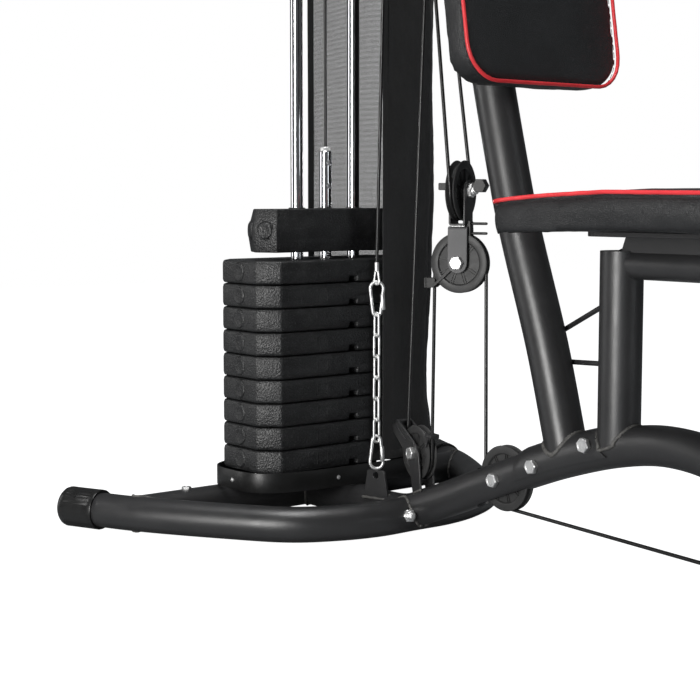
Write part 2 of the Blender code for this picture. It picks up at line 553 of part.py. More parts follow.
# ---------------------------------------------------------------- leg lever
lever = tube("leg_lever", [(LEVER_PIVOT.x, 0, LEVER_PIVOT.z), (LEVER_PIVOT.x, 0, 0.27), (LEVER_PIVOT.x, 0, 0.118)],
             0.0190, "frame", sides=14, origin=LEVER_PIVOT)
sleeve = tube("c_sleeve", [(LEVER_PIVOT.x, -0.0203, LEVER_PIVOT.z), (LEVER_PIVOT.x, 0.0203, LEVER_PIVOT.z)], 0.0205,
              "frame", sides=16, cutter=True)
LR = (1.0180, 0.1350)
lroll = tube("c_lroll", [(LR[0], -0.205, LR[1]), (LR[0], 0.205, LR[1])], 0.0125, "frame", sides=12, cutter=True)
hook = prism("c_hook", [(0.9640, 0.2060), (0.9760, 0.1960), (0.9860, 0.1960), (0.9860, 0.2300), (0.9700, 0.2240)], "Y",
             -0.003, 0.003, "frame", cutter=True)
weld(lever, sleeve, lroll, hook)


def roller(name, x, z, y0, y1):
    prof = [(0.0130, y0), (0.0400, y0), (0.0450, y0 + math.copysign(0.006, y1 - y0)),
            (0.0450, y1 - math.copysign(0.006, y1 - y0)), (0.0400, y1), (0.0130, y1)]
    return finish(name, revolve_bm(prof, (x, 0, z), (0, 1, 0), 18), "foam", origin=(x, 0, z))


roller("knee_roller_right", *UR, -0.0400, -0.2000)
roller("knee_roller_left", *UR, 0.0400, 0.2000)
roller("ankle_roller_right", *LR, -0.0400, -0.2000)
roller("ankle_roller_left", *LR, 0.0400, 0.2000)

# ---------------------------------------------------------------- press arm
arm_half = [(0.4200, 0.0, 1.6000), (0.4200, 0.140, 1.6000), (0.4240, 0.2550, 1.5900), (0.4450, 0.3050, 1.5300),
            (0.4900, 0.3150, 1.3800), (0.5500, 0.3150, 1.2000), (0.6050, 0.3120, 1.0500), (0.6450, 0.2900, 0.9850),
            (0.6600, 0.2400, 0.9700), (0.6650, 0.1550, 0.9700)]
path = [(x, -y, z) for x, y, z in arm_half[:0:-1]] + arm_half
press = tube("press_arm", smooth_path(path, 0.055), 0.0160, "frame", sides=12, origin=PRESS_PIVOT)
drop = tube("c_drop", [(PRESS_PIVOT.x, 0, PRESS_PIVOT.z), (0.4210, 0, 1.6000)], 0.0160, "frame", sides=12, cutter=True)
psl = tube("c_psleeve", [(PRESS_PIVOT.x, -0.0178, PRESS_PIVOT.z), (PRESS_PIVOT.x, 0.0178, PRESS_PIVOT.z)], 0.0210,
           "frame", sides=16, cutter=True)
tongue = prism("c_tongue", [(0.4100, -0.016), (0.5000, -0.016), (0.5120, -0.010), (0.5160, 0.0), (0.5120, 0.010), (0.5000, 0.016),
                            (0.4100, 0.016)], "Z", ARM_WHEEL.z + 0.0086, ARM_WHEEL.z + 0.0136, "frame", cutter=True)
strut = block("c_strut", (0.4120, -0.0125, ARM_WHEEL.z + 0.0100), (0.4280, 0.0125, 1.6000), cutter=True)
weld(press, drop, psl, tongue, strut)

# ---------------------------------------------------------------- overhead bar
bar = [(0, 0, 0), (0, 0.10, 0.0), (0, 0.26, 0.0), (0, 0.34, -0.018), (0, 0.46, -0.075)]
LB = Vector((LAT_PIVOT.x, 0, LAT_PIVOT.z - 0.040))
pts = [LB + Vector((x, -y, z)) for x, y, z in bar[:0:-1]] + [LB + Vector(b) for b in bar]
lat = tube("lat_bar", smooth_path(pts, 0.06), 0.0140, "chrome", sides=12, origin=LAT_PIVOT)
tube("lat_hook", [LAT_PIVOT + Vector((0, 0, 0.0006)), LAT_PIVOT + Vector((0, 0, 0.025)), LAT_TOP], 0.0060, "zinc", sides=8,
     origin=LAT_TOP)
eye = tube("c_eye", [LB, Vector((LAT_PIVOT.x, 0, LAT_PIVOT.z - 0.0026))], 0.0050, "chrome", sides=8, cutter=True)
weld(lat, eye)

# ---------------------------------------------------------------- pads
def pad_bm(w, d, t, r, e=0.012):
    """Cushion block: rounded plan, edges eased top and bottom."""
    bm = bmesh.new()
    rings = []
    for z, s in ((0, e), (e, 0), (t - e, 0), (t, e)):
        rings.append([(x, y, z) for x, y in rounded(w - s, d - s, max(r - s, 0.004), 4)])
    ring_mesh(bm, rings)
    return bm


SEAT_C, SEAT_Z, SEAT_T = 0.7100, 0.4376, 0.0580
bm = pad_bm(0.1950, 0.1520, SEAT_T, 0.040)
bmesh.ops.translate(bm, verts=bm.verts[:], vec=(SEAT_C, 0, SEAT_Z))
finish("seat_pad", bm, "leather", origin=(SEAT_C, 0, SEAT_Z))

BACK_Z0, BACK_Z1, BACK_T = 0.630, 1.310, 0.052
pa = Vector((upx(BACK_Z0) + TUBE_R + 0.032, 0, BACK_Z0))
pb = Vector((upx(BACK_Z1) + TUBE_R + 0.026, 0, BACK_Z1))
tilt = math.atan2(pa.x - pb.x, pb.z - pa.z)
blen = (pb - pa).length
bm = pad_bm(blen / 2, 0.138, BACK_T, 0.045)            # length on X, thickness on Z
mid = (pa + pb) / 2
rot = Matrix.Rotation(-math.pi / 2, 3, 'Y')            # length to -Z..+Z, thickness to -X
bmesh.ops.rotate(bm, verts=bm.verts[:], cent=(0, 0, 0), matrix=Matrix.Rotation(math.pi / 2, 3, 'Y'))
bmesh.ops.rotate(bm, verts=bm.verts[:], cent=(0, 0, 0), matrix=Matrix.Rotation(-tilt, 3, 'Y'))
bmesh.ops.translate(bm, verts=bm.verts[:], vec=mid)
finish("backrest_pad", bm, "leather", origin=mid)
# bracket: flat bar behind the pad with two standoffs reaching the upright
bdir = (pb - pa).normalized()
bn = Vector((bdir.z, 0, -bdir.x))


def on_back(s, h):
    q = pa + bdir * (blen * s) - bn * h
    return (q.x, q.z)


bb = prism("backrest_bracket", [on_back(0.10, 0.0006), on_back(0.90, 0.0006), on_back(0.90, 0.0056), on_back(0.10, 0.0056)],
           "Y", -0.025, 0.025, "frame")
st = []
for i, s in enumerate((0.16, 0.84)):
    st.append(prism("c_stand%d" % i, [on_back(s - 0.03, 0.003), on_back(s + 0.03, 0.003), on_back(s + 0.03, 0.0500),
                                      on_back(s - 0.03, 0.0500)], "Y", -0.015, 0.015, "frame", cutter=True))
weld(bb, *st)
cut(bb, c_up)
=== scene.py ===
import math
import bpy
import bmesh
import numpy as np
from mathutils import Vector, Matrix, noise

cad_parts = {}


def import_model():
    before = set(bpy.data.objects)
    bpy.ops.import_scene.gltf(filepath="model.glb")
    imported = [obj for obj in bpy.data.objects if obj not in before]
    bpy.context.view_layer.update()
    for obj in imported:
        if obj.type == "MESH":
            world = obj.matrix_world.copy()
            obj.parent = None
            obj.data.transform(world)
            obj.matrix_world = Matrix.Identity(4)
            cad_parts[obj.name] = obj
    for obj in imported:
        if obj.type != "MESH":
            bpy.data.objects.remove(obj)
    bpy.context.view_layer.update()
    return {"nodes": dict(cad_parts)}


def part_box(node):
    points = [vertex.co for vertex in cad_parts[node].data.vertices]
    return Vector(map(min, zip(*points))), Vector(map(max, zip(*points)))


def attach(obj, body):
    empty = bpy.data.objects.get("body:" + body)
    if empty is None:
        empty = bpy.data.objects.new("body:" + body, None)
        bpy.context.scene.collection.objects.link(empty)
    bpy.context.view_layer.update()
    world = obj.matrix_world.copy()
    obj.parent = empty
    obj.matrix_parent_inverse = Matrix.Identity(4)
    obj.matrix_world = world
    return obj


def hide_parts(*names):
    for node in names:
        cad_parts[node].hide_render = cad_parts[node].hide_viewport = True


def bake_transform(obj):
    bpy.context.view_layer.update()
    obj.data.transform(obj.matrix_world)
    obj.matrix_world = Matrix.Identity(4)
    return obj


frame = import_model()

X0 = -0.4478                 # the selector rod's X; the layout below is measured from the rod
SC = bpy.context.scene


def S(x, y=0.0, z=0.0):
    return Vector((x + X0, y, z))


# ------------------------------------------------------------------ camera
cam_data = bpy.data.cameras.new("camera")
cam_data.lens = 78.87
cam_data.sensor_width = 36.0
cam_data.shift_x = 0.0019
cam_data.shift_y = -0.004
cam_data.clip_start = 0.05
cam_data.clip_end = 60.0
cam = bpy.data.objects.new("camera", cam_data)
cam.location = (1.4231, -1.459, 0.4926)
cam.rotation_euler = (math.radians(90 - 5.662), 0.0, math.radians(51.19))
SC.collection.objects.link(cam)
SC.camera = cam


# ------------------------------------------------------------------ materials
class Nodes:
    """Small helper around one material's node tree."""

    def __init__(self, name):
        self.m = bpy.data.materials.new(name)
        self.m.use_nodes = True
        self.t = self.m.node_tree
        self.b = self.t.nodes["Principled BSDF"]
        self.co = self.t.nodes.new("ShaderNodeTexCoord").outputs["Object"]

    def node(self, kind, **values):
        n = self.t.nodes.new("ShaderNode" + kind)
        for k, v in values.items():
            if hasattr(n, k) and k not in n.inputs:
                setattr(n, k, v)
            else:
                n.inputs[k.replace("_", " ")].default_value = v
        return n

    def link(self, a, b):
        self.t.links.new(a, b)

    def noise(self, scale, detail=3.0, rough=0.55, co=None, stretch=None):
        co = co or self.co
        if stretch:
            mp = self.node("Mapping")
            mp.inputs["Scale"].default_value = stretch
            self.link(co, mp.inputs["Vector"])
            co = mp.outputs["Vector"]
        n = self.node("TexNoise")
        n.inputs["Scale"].default_value = scale
        n.inputs["Detail"].default_value = detail
        n.inputs["Roughness"].default_value = rough
        self.link(co, n.inputs["Vector"])
        return n.outputs["Fac"]

    def voronoi(self, scale, feature="F1", out="Distance"):
        n = self.node("TexVoronoi")
        n.feature = feature
        n.inputs["Scale"].default_value = scale
        self.link(self.co, n.inputs["Vector"])
        return n.outputs[out]

    def ramp(self, fac, stops):
        n = self.node("ValToRGB")
        e = n.color_ramp.elements
        while len(e) < len(stops):
            e.new(0.5)
        for el, (p, c) in zip(e, stops):
            el.position = p
            el.color = (*c, 1.0) if len(c) == 3 else c
        self.link(fac, n.inputs["Fac"])
        return n.outputs["Color"]

    def range(self, fac, lo, hi, a=0.3, b=0.7):
        n = self.node("MapRange")
        n.inputs["From Min"].default_value = a
        n.inputs["From Max"].default_value = b
        n.inputs["To Min"].default_value = lo
        n.inputs["To Max"].default_value = hi
        self.link(fac, n.inputs["Value"])
        return n.outputs["Result"]

    def math(self, op, a, b=None):
        n = self.node("Math")
        n.operation = op
        for i, v in enumerate((a, b)):
            if v is None:
                continue
            if isinstance(v, (int, float)):
                n.inputs[i].default_value = v
            else:
                self.link(v, n.inputs[i])
        return n.outputs["Value"]

    def bump(self, height, strength=0.2, distance=0.001, normal=None):
        n = self.node("Bump")
        n.inputs["Strength"].default_value = strength
        n.inputs["Distance"].default_value = distance
        self.link(height, n.inputs["Height"])
        if normal is not None:
            self.link(normal, n.inputs["Normal"])
        return n.outputs["Normal"]

    def mix(self, fac, a, b):
        n = self.node("Mix")
        n.data_type = "RGBA"
        for k, v in ((0, fac), (6, a), (7, b)):
            if isinstance(v, (int, float)):
                n.inputs[k].default_value = v
            elif isinstance(v, tuple):
                n.inputs[k].default_value = (*v, 1.0)
            else:
                self.link(v, n.inputs[k])
        return n.outputs[2]

    def put(self, **links):
        for k, v in links.items():
            s = self.b.inputs[k.replace("_", " ")]
            if isinstance(v, (int, float)):
                s.default_value = v
            elif isinstance(v, tuple):
                s.default_value = (*v, 1.0)
            else:
                self.link(v, s)
        return self.m


def g(v):
    return (v, v, v)


def make_powder(name, base=0.021, rough=0.36):
    n = Nodes(name)
    tone = n.ramp(n.noise(9.0, 4), [(0.35, (base * 0.82, base * 0.82, base * 0.86)), (0.65, (base * 1.15, base * 1.14, base * 1.18))])
    grain = n.noise(1500.0, 2, 0.6)
    speck = n.mix(n.range(grain, 0.0, 1.0, 0.55, 0.75), tone, (base * 1.9, base * 1.9, base * 2.0))
    r = n.range(n.noise(30.0, 4), rough - 0.05, rough + 0.06)
    nrm = n.bump(grain, 0.22, 0.0006)
    nrm = n.bump(n.noise(240.0, 2), 0.10, 0.0010, nrm)
    return n.put(Base_Color=speck, Roughness=r, Normal=nrm, Metallic=0.0, Specular_IOR_Level=0.62, Coat_Weight=0.10, Coat_Roughness=0.28)


def make_plastic(name, base=0.012, rough=0.28, scale=500.0, strength=0.08, spec=0.5):
    n = Nodes(name)
    tone = n.ramp(n.noise(14.0, 3), [(0.3, g(base * 0.8)), (0.7, g(base * 1.25))])
    r = n.range(n.noise(60.0, 4), rough - 0.05, rough + 0.08)
    nrm = n.bump(n.noise(scale, 3), strength, 0.0006)
    return n.put(Base_Color=tone, Roughness=r, Normal=nrm, Specular_IOR_Level=spec)


def make_vinyl(name):
    """Textured vinyl skin of the cement filled plates: fine pebbled grain whose raised specks carry painted highlight
    glints, paler grey in the colour.
    """
    n = Nodes(name)
    v = n.voronoi(380.0)
    f = n.noise(430.0, 4, 0.7)
    h = n.math("ADD", v, n.math("MULTIPLY", f, 0.8))
    tone = n.ramp(n.noise(26.0, 5, 0.65), [(0.32, (0.0045, 0.0046, 0.0050)), (0.52, (0.0085, 0.0087, 0.0092)), (0.72, (0.0190, 0.0194, 0.0200))])
    # painted highlight: paler grey specks on the grain's raised points (noise f, also in the bump) stand in for glints
    speck = n.mix(n.range(f, 0.0, 0.85, 0.55, 0.70), tone, (0.060, 0.062, 0.064))
    streak = n.noise(18.0, 4, 0.6, stretch=(1.0, 0.35, 5.0))
    col = n.mix(n.range(streak, 0.0, 0.35, 0.5, 0.8), speck, (0.040, 0.041, 0.043))
    nrm = n.bump(h, 0.60, 0.0010)
    nrm = n.bump(n.noise(90.0, 3), 0.16, 0.0014, nrm)
    r = n.range(n.noise(45.0, 4), 0.34, 0.50)
    return n.put(Base_Color=col, Roughness=r, Normal=nrm, Specular_IOR_Level=0.60)


def make_leather(name, base=0.0125):
    n = Nodes(name)
    cell = n.voronoi(520.0, "DISTANCE_TO_EDGE")
    pore = n.noise(900.0, 3, 0.6)
    h = n.math("ADD", n.range(cell, 0.0, 1.0, 0.0, 0.28), n.math("MULTIPLY", pore, 0.35))
    tone = n.ramp(n.noise(12.0, 4), [(0.3, (base * 0.8, base * 0.83, base * 0.9)), (0.7, (base * 1.35, base * 1.4, base * 1.5))])
    # painted shade: the grain's grooves (voronoi cell edges, low in the bump) are darkened in the colour
    col = n.mix(n.range(cell, 0.55, 0.0, 0.0, 0.09), tone, (base * 0.35, base * 0.35, base * 0.4))
    nrm = n.bump(h, 0.42, 0.0006)
    nrm = n.bump(n.noise(26.0, 3), 0.12, 0.004, nrm)
    return n.put(Base_Color=col, Roughness=n.range(n.noise(70.0, 4), 0.34, 0.48), Normal=nrm, Specular_IOR_Level=0.55)


def make_metal(name, colour, rough, scale=(1.0, 1.0, 1.0), fine=700.0, strength=0.10):
    n = Nodes(name)
    c = colour
    tone = n.ramp(n.noise(50.0, 4), [(0.3, tuple(v * 0.86 for v in c)), (0.7, c)])
    f = n.noise(fine, 4, 0.6, stretch=scale)
    return n.put(Base_Color=tone, Metallic=1.0, Roughness=n.range(f, rough * 0.75, rough * 1.35), Normal=n.bump(f, strength, 0.0004))


def make_cloth(name, base=0.0085, pitch=0.0016):
    """Tight warp knit: fine ribs crossed by stitches, a soft sheen, and painted crease shading in the tone."""
    n = Nodes(name)
    sep = n.node("SeparateXYZ")
    n.link(n.co, sep.inputs[0])
    k = 2 * math.pi / pitch
    a = n.math("SINE", n.math("MULTIPLY", n.math("ADD", sep.outputs["X"], sep.outputs["Y"]), k))
    b = n.math("SINE", n.math("MULTIPLY", sep.outputs["Z"], k * 0.8))
    h = n.math("ADD", n.math("MULTIPLY", n.math("MULTIPLY", a, b), 0.5), n.noise(900.0, 3))
    # painted crease shading: long vertical streaks, paler and bluish or darker, in the tone
    tone = n.ramp(n.noise(16.0, 4, 0.6, stretch=(1.0, 1.0, 0.35)), [(0.3, g(base * 0.75)), (0.7, (base * 1.7, base * 1.75, base * 1.9))])
    thread = n.mix(n.range(n.math("MULTIPLY", a, b), 0.0, 0.5, 0.1, 0.9), tone, g(base * 2.6))
    nrm = n.bump(h, 0.35, 0.0006)
    return n.put(Base_Color=thread, Roughness=n.range(n.noise(300.0), 0.80, 0.95), Normal=nrm, Sheen_Weight=0.18, Sheen_Roughness=0.45, Specular_IOR_Level=0.25)


def make_mesh_cloth(name):
    """Open polyester mesh: black threads on a 2 mm pitch, the holes between them see-through."""
    n = Nodes(name)
    sep = n.node("SeparateXYZ")
    n.link(n.co, sep.inputs[0])
    k = math.pi / 0.0020
    a = n.math("ABSOLUTE", n.math("SINE", n.math("MULTIPLY", n.math("ADD", sep.outputs["X"], sep.outputs["Y"]), k)))
    b = n.math("ABSOLUTE", n.math("SINE", n.math("MULTIPLY", sep.outputs["Z"], k)))
    hole = n.math("MULTIPLY", a, b)
    band = n.noise(60.0, 2, 0.5, stretch=(0.05, 0.05, 4.0))
    alpha = n.range(hole, 1.0, 0.0, 0.60, 0.66)
    tone = n.ramp(band, [(0.35, (0.020, 0.021, 0.022)), (0.7, (0.045, 0.047, 0.049))])
    return n.put(Base_Color=tone, Alpha=alpha, Roughness=n.range(hole, 0.7, 0.9), Normal=n.bump(hole, 0.3, 0.0005), Sheen_Weight=0.1)


def make_red(name):
    n = Nodes(name)
    tone = n.ramp(n.noise(40.0, 3), [(0.3, (0.66, 0.030, 0.038)), (0.7, (0.78, 0.046, 0.055))])
    return n.put(Base_Color=tone, Roughness=n.range(n.noise(300.0), 0.30, 0.42), Normal=n.bump(n.noise(900.0, 2), 0.12, 0.0004), Specular_IOR_Level=0.5)


def make_foam(name):
    n = Nodes(name)
    v = n.voronoi(420.0)
    tone = n.ramp(n.noise(25.0, 5), [(0.3, g(0.010)), (0.7, g(0.024))])
    nrm = n.bump(n.math("ADD", v, n.noise(500.0, 3)), 0.45, 0.0010)
    return n.put(Base_Color=tone, Roughness=n.range(n.noise(90.0), 0.72, 0.90), Normal=nrm, Specular_IOR_Level=0.35)


def make_cable(name):
    n = Nodes(name)
    tone = n.ramp(n.noise(60.0, 3), [(0.3, g(0.006)), (0.7, g(0.012))])
    return n.put(Base_Color=tone, Roughness=n.range(n.noise(200.0), 0.26, 0.40), Normal=n.bump(n.noise(700.0, 2), 0.10, 0.0004))


def make_weld(name):
    """Weld bead under powder coat: scaly ripples, a little paler than the tube."""
    n = Nodes(name)
    tone = n.ramp(n.noise(160.0, 4), [(0.3, (0.050, 0.049, 0.047)), (0.7, (0.130, 0.127, 0.120))])
    nrm = n.bump(n.noise(420.0, 4, 0.7), 0.5, 0.0012)
    return n.put(Base_Color=tone, Roughness=n.range(n.noise(300.0), 0.42, 0.62), Normal=nrm, Specular_IOR_Level=0.5)


M = {
    "frame": make_powder("powder_coat"),
    "frame_dark": make_powder("powder_coat_bracket", 0.018, 0.44),
    "frame_grey": make_powder("powder_coat_strap", 0.062, 0.50),
    "cap": make_plastic("cap_plastic", 0.010, 0.30, 380.0, 0.10),
    "band": make_plastic("band_plastic", 0.0065, 0.40, 300.0, 0.10),
    "vinyl": make_vinyl("plate_vinyl"),
    "leather": make_leather("seat_leather"),
    "chrome": make_metal("chromed_rod", (0.86, 0.86, 0.88), 0.10, (1.0, 1.0, 0.04), 300.0, 0.03),
    "zinc": make_metal("zinc_plate", (0.95, 0.95, 0.945), 0.40, (1, 1, 1), 500.0, 0.14),
    "steel_dark": make_metal("dark_hole", (0.05, 0.05, 0.05), 0.5),
    "brass": make_metal("brass_bush", (0.62, 0.40, 0.16), 0.34),
    "cloth": make_cloth("shroud_cloth"),
    "mesh": make_mesh_cloth("shroud_mesh"),
    "nylon": make_plastic("pulley_nylon", 0.030, 0.46, 420.0, 0.16, 0.45),
    "nylon_dark": make_plastic("retainer_nylon", 0.010, 0.40, 420.0, 0.12),
    "foam": make_foam("roller_foam"),
    "cable": make_cable("cable_vinyl"),
    "rubber": make_plastic("stack_rubber", 0.012, 0.72, 300.0, 0.3, 0.3),
    "red": make_red("red_piping"),
    "weld": make_weld("weld_bead"),
    "board": make_plastic("seat_board", 0.020, 0.75, 120.0, 0.3, 0.25),
    "grip": make_plastic("grip_rubber", 0.012, 0.62, 700.0, 0.4, 0.35),
}


# ------------------------------------------------------------------ mesh helpers
def obj(name, bm, look, body=None, sharp=35.0, smooth=True, weld=1e-6):
    if weld:
        bmesh.ops.remove_doubles(bm, verts=bm.verts[:], dist=weld)
    bmesh.ops.recalc_face_normals(bm, faces=bm.faces[:])
    me = bpy.data.meshes.new(name)
    bm.to_mesh(me)
    bm.free()
    if smooth:
        me.shade_smooth()
        me.set_sharp_from_angle(angle=math.radians(sharp))
    o = bpy.data.objects.new(name, me)
    SC.collection.objects.link(o)
    me.materials.append(M[look])
    if body:
        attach(o, body)
    return o


def baked(o):
    """Apply every modifier of o to its mesh."""
    bpy.context.view_layer.update()
    dg = bpy.context.evaluated_depsgraph_get()
    me = bpy.data.meshes.new_from_object(o.evaluated_get(dg))
    o.modifiers.clear()
    o.data = me
    return o


def bevel(o, width, segments=2, angle=30.0):
    b = o.modifiers.new("edge", "BEVEL")
    b.width = width
    b.segments = segments
    b.limit_method = "ANGLE"
    b.angle_limit = math.radians(angle)
    b.harden_normals = False
    return o


def cut(o, *cutters):
    for c in cutters:
        m = o.modifiers.new("cut", "BOOLEAN")
        m.operation = "DIFFERENCE"
        m.solver = "EXACT"
        m.object = c
    baked(o)
    for c in cutters:
        bpy.data.objects.remove(c, do_unlink=True)
    o.data.shade_smooth()
    o.data.set_sharp_from_angle(angle=math.radians(32))
    return o


def rings(bm, rr, closed=False, caps=True, open_ring=False):
    vs = [[bm.verts.new(c) for c in ring] for ring in rr]
    n, m = len(vs[0]), len(vs)
    for i in range(m if closed else m - 1):
        a, b = vs[i], vs[(i + 1) % m]
        for k in range(n - 1 if open_ring else n):
            bm.faces.new((a[k], a[(k + 1) % n], b[(k + 1) % n], b[k]))
    if not closed and caps and not open_ring:
        bm.faces.new(vs[0][::-1])
        bm.faces.new(vs[-1])
    return vs


def smooth_path(pts, step):
    p = [Vector(q) for q in pts]
    p = [2 * p[0] - p[1]] + p + [2 * p[-1] - p[-2]]
    out = []
    for i in range(1, len(p) - 2):
        n = max(1, round((p[i + 1] - p[i]).length / step))
        for k in range(n):
            t = k / n
            a, b, c, d = p[i - 1], p[i], p[i + 1], p[i + 2]
            out.append(0.5 * ((2 * b) + (c - a) * t + (2 * a - 5 * b + 4 * c - d) * t * t + (3 * b - a - 3 * c + d) * t ** 3))
    out.append(p[-2])
    return out


def tube_bm(pts, r, sides=40, bm=None, caps=True, closed=False, radius=None, squash=None):
    bm = bm or bmesh.new()
    p = [Vector(q) for q in pts]
    n = len(p)
    t0 = (p[1] - p[0]).normalized()
    u = t0.cross(Vector((0, 0, 1)))
    if u.length < 0.05:
        u = t0.cross(Vector((0, 1, 0)))
    u.normalize()
    rr = []
    for i, c in enumerate(p):
        if closed:
            ta, tb = (p[i] - p[i - 1]), (p[(i + 1) % n] - p[i])
        else:
            ta = (p[i] - p[i - 1]) if i else (p[1] - p[0])
            tb = (p[i + 1] - p[i]) if i < n - 1 else ta.copy()
        ta.normalize()
        tb.normalize()
        tn = (ta + tb).normalized()
        u = (u - tn * u.dot(tn)).normalized()
        w = tn.cross(u)
        rad = radius(i / max(1, n - 1)) * r if radius else r
        rr.append([c + (u * math.cos(2 * math.pi * s / sides) + w * math.sin(2 * math.pi * s / sides)) * rad for s in range(sides)])
    rings(bm, rr, closed=closed, caps=caps)
    return bm


def revolve_bm(profile, centre, axis, sides=48, bm=None, closed=True, start=None):
    bm = bm or bmesh.new()
    ax = Vector(axis).normalized()
    u = ax.orthogonal().normalized() if start is None else Vector(start)
    w = ax.cross(u)
    c = Vector(centre)
    rr = [[c + (u * math.cos(2 * math.pi * s / sides) + w * math.sin(2 * math.pi * s / sides)) * r + ax * h for r, h in profile]
          for s in range(sides)]
    vs = [[bm.verts.new(q) for q in ring] for ring in rr]
    n = len(profile)
    for i in range(sides):
        a, b = vs[i], vs[(i + 1) % sides]
        for k in range(n if closed else n - 1):
            quad = (a[k], a[(k + 1) % n], b[(k + 1) % n], b[k])
            bm.faces.new(quad)
    return bm


def spun(profile, centre, axis, sides=48, bm=None):
    """Turned solid whose profile starts and ends on the axis (first and last radius 0)."""
    bm = bm or bmesh.new()
    ax = Vector(axis).normalized()
    u = ax.orthogonal().normalized()
    w = ax.cross(u)
    c = Vector(centre)
    first, last = bm.verts.new(c + ax * profile[0][1]), bm.verts.new(c + ax * profile[-1][1])
    mid = profile[1:-1]
    vs = [[bm.verts.new(c + (u * math.cos(2 * math.pi * s / sides) + w * math.sin(2 * math.pi * s / sides)) * r + ax * h) for r, h in mid]
          for s in range(sides)]
    for i in range(sides):
        a, b = vs[i], vs[(i + 1) % sides]
        bm.faces.new((first, b[0], a[0]))
        for k in range(len(mid) - 1):
            bm.faces.new((a[k], b[k], b[k + 1], a[k + 1]))
        bm.faces.new((last, a[-1], b[-1]))
    return bm


def prism_bm(poly, origin, e1, e2, en, lo, hi, bm=None):
    """Outline in the (e1, e2) plane through origin, extruded along en from lo to hi."""
    bm = bm or bmesh.new()
    o, e1, e2, en = Vector(origin), Vector(e1), Vector(e2), Vector(en)
    rings(bm, [[o + e1 * a + e2 * b + en * h for a, b in poly] for h in (lo, hi)])
    return bm


def arc(cx, cy, r, a0, a1, n):
    return [(cx + r * math.cos(math.radians(a0 + (a1 - a0) * k / n)), cy + r * math.sin(math.radians(a0 + (a1 - a0) * k / n)))
            for k in range(n + 1)]


def rounded(w, h, r, n=6, cx=0.0, cy=0.0):
    out = []
    for qx, qy, a0 in ((1, 1, 0), (-1, 1, 90), (-1, -1, 180), (1, -1, 270)):
        out += arc(cx + qx * (w - r), cy + qy * (h - r), r, a0, a0 + 90, n)
    return out


def box_bm(lo, hi, bm=None):
    return prism_bm([(lo[0], lo[1]), (hi[0], lo[1]), (hi[0], hi[1]), (lo[0], hi[1])], (0, 0, 0), (1, 0, 0), (0, 1, 0), (0, 0, 1), lo[2], hi[2], bm)


def cutter(bm):
    bmesh.ops.recalc_face_normals(bm, faces=bm.faces[:])
    me = bpy.data.meshes.new("cutter")
    bm.to_mesh(me)
    bm.free()
    o = bpy.data.objects.new("cutter", me)
    SC.collection.objects.link(o)
    return o


def basis(axis):
    ax = Vector(axis).normalized()
    u = ax.orthogonal().normalized()
    return ax, u, ax.cross(u)


def hexagon(r_flat, turn=0.0):
    r = r_flat / math.cos(math.pi / 6)
    return [(r * math.cos(math.pi / 3 * k + turn), r * math.sin(math.pi / 3 * k + turn)) for k in range(6)]


def bolt(name, at, axis, body, af=0.017, head=0.0064, washer=0.0, nut=False, thread=0.0035, turn=0.25, shank=None):
    """Hexagon bolt head or locking nut standing on a surface at `at`, pointing along axis."""
    ax, u, w = basis(axis)
    at = Vector(at)
    bm = bmesh.new()
    z = 0.0
    if washer:
        revolve_bm([(0.0052, 0.0), (washer, 0.0), (washer, 0.0014), (washer - 0.0004, 0.0018), (0.0052, 0.0018)], at, ax, 40, bm)
        z = 0.0018
    rf = af / 2
    r_c = rf / math.cos(math.pi / 6)
    sides = 48
    ring_list = []
    for h, k in ((0.0, 0.0), (0.0, 0.985), (0.0006, 1.0), (head - 0.0012, 1.0), (head - 0.0002, 0.93), (head, 0.90)):
        ring = []
        for s in range(sides):
            a = 2 * math.pi * s / sides + turn
            flat = rf / max(0.5, math.cos(((a - turn) % (math.pi / 3)) - math.pi / 6))
            rad = min(flat, rf * 1.12 if h > head - 0.0008 else r_c) * k
            rad = min(rad, rf * 0.97) if h >= head - 0.0003 else rad
            ring.append(at + (u * math.cos(a) + w * math.sin(a)) * rad + ax * (z + h))
        if k > 0:
            ring_list.append(ring)
    top = z + head
    if nut:
        for h, rad in ((top, rf * 0.86), (top + 0.0022, rf * 0.80), (top + 0.0030, rf * 0.70), (top + 0.0028, 0.0054), (top + 0.0004, 0.0052)):
            ring_list.append([at + (u * math.cos(2 * math.pi * s / sides + turn) + w * math.sin(2 * math.pi * s / sides + turn)) * rad + ax * h
                              for s in range(sides)])
        rings(bm, ring_list)
        prof = [(0.0, top - 0.002)]
        h = top - 0.002
        while h < top + thread + 0.002:
            prof += [(0.0048, h), (0.0042, h + 0.00045)]
            h += 0.0009
        prof += [(0.0040, h), (0.0032, h + 0.0006), (0.0, h + 0.0006)]
        spun(prof, at, ax, 28, bm)
    else:
        # shallow washer-like dish in the middle of the head
        for h, rad in ((top, rf * 0.74), (top - 0.0004, rf * 0.68), (top - 0.0004, rf * 0.05)):
            ring_list.append([at + (u * math.cos(2 * math.pi * s / sides + turn) + w * math.sin(2 * math.pi * s / sides + turn)) * rad + ax * h
                              for s in range(sides)])
        rings(bm, ring_list)
    if shank:
        revolve_bm([(0.0001, -shank), (0.0048, -shank), (0.0048, 0.001), (0.0001, 0.001)], at, ax, 24, bm)
    return obj(name, bm, "zinc", body, sharp=24)


def bead(name, pts, r, body="root", closed=False, look="weld"):
    """Weld bead: a rippled fillet along pts."""
    p = smooth_path(pts, 0.0016) if not closed else [Vector(q) for q in pts]
    n = len(p)
    bm = bmesh.new()
    acc = 0.0
    lens = [0.0]
    for i in range(1, n):
        acc += (p[i] - p[i - 1]).length
        lens.append(acc)

    def rad(t):
        s = t * acc
        return 1.0 + 0.16 * math.sin(s / 0.0034 * 2 * math.pi) + 0.14 * noise.noise(Vector((s * 90.0, 3.1, 0.7)))
    tube_bm(p, r, 10, bm, closed=closed, radius=rad)
    return obj(name, bm, look, body, sharp=80)


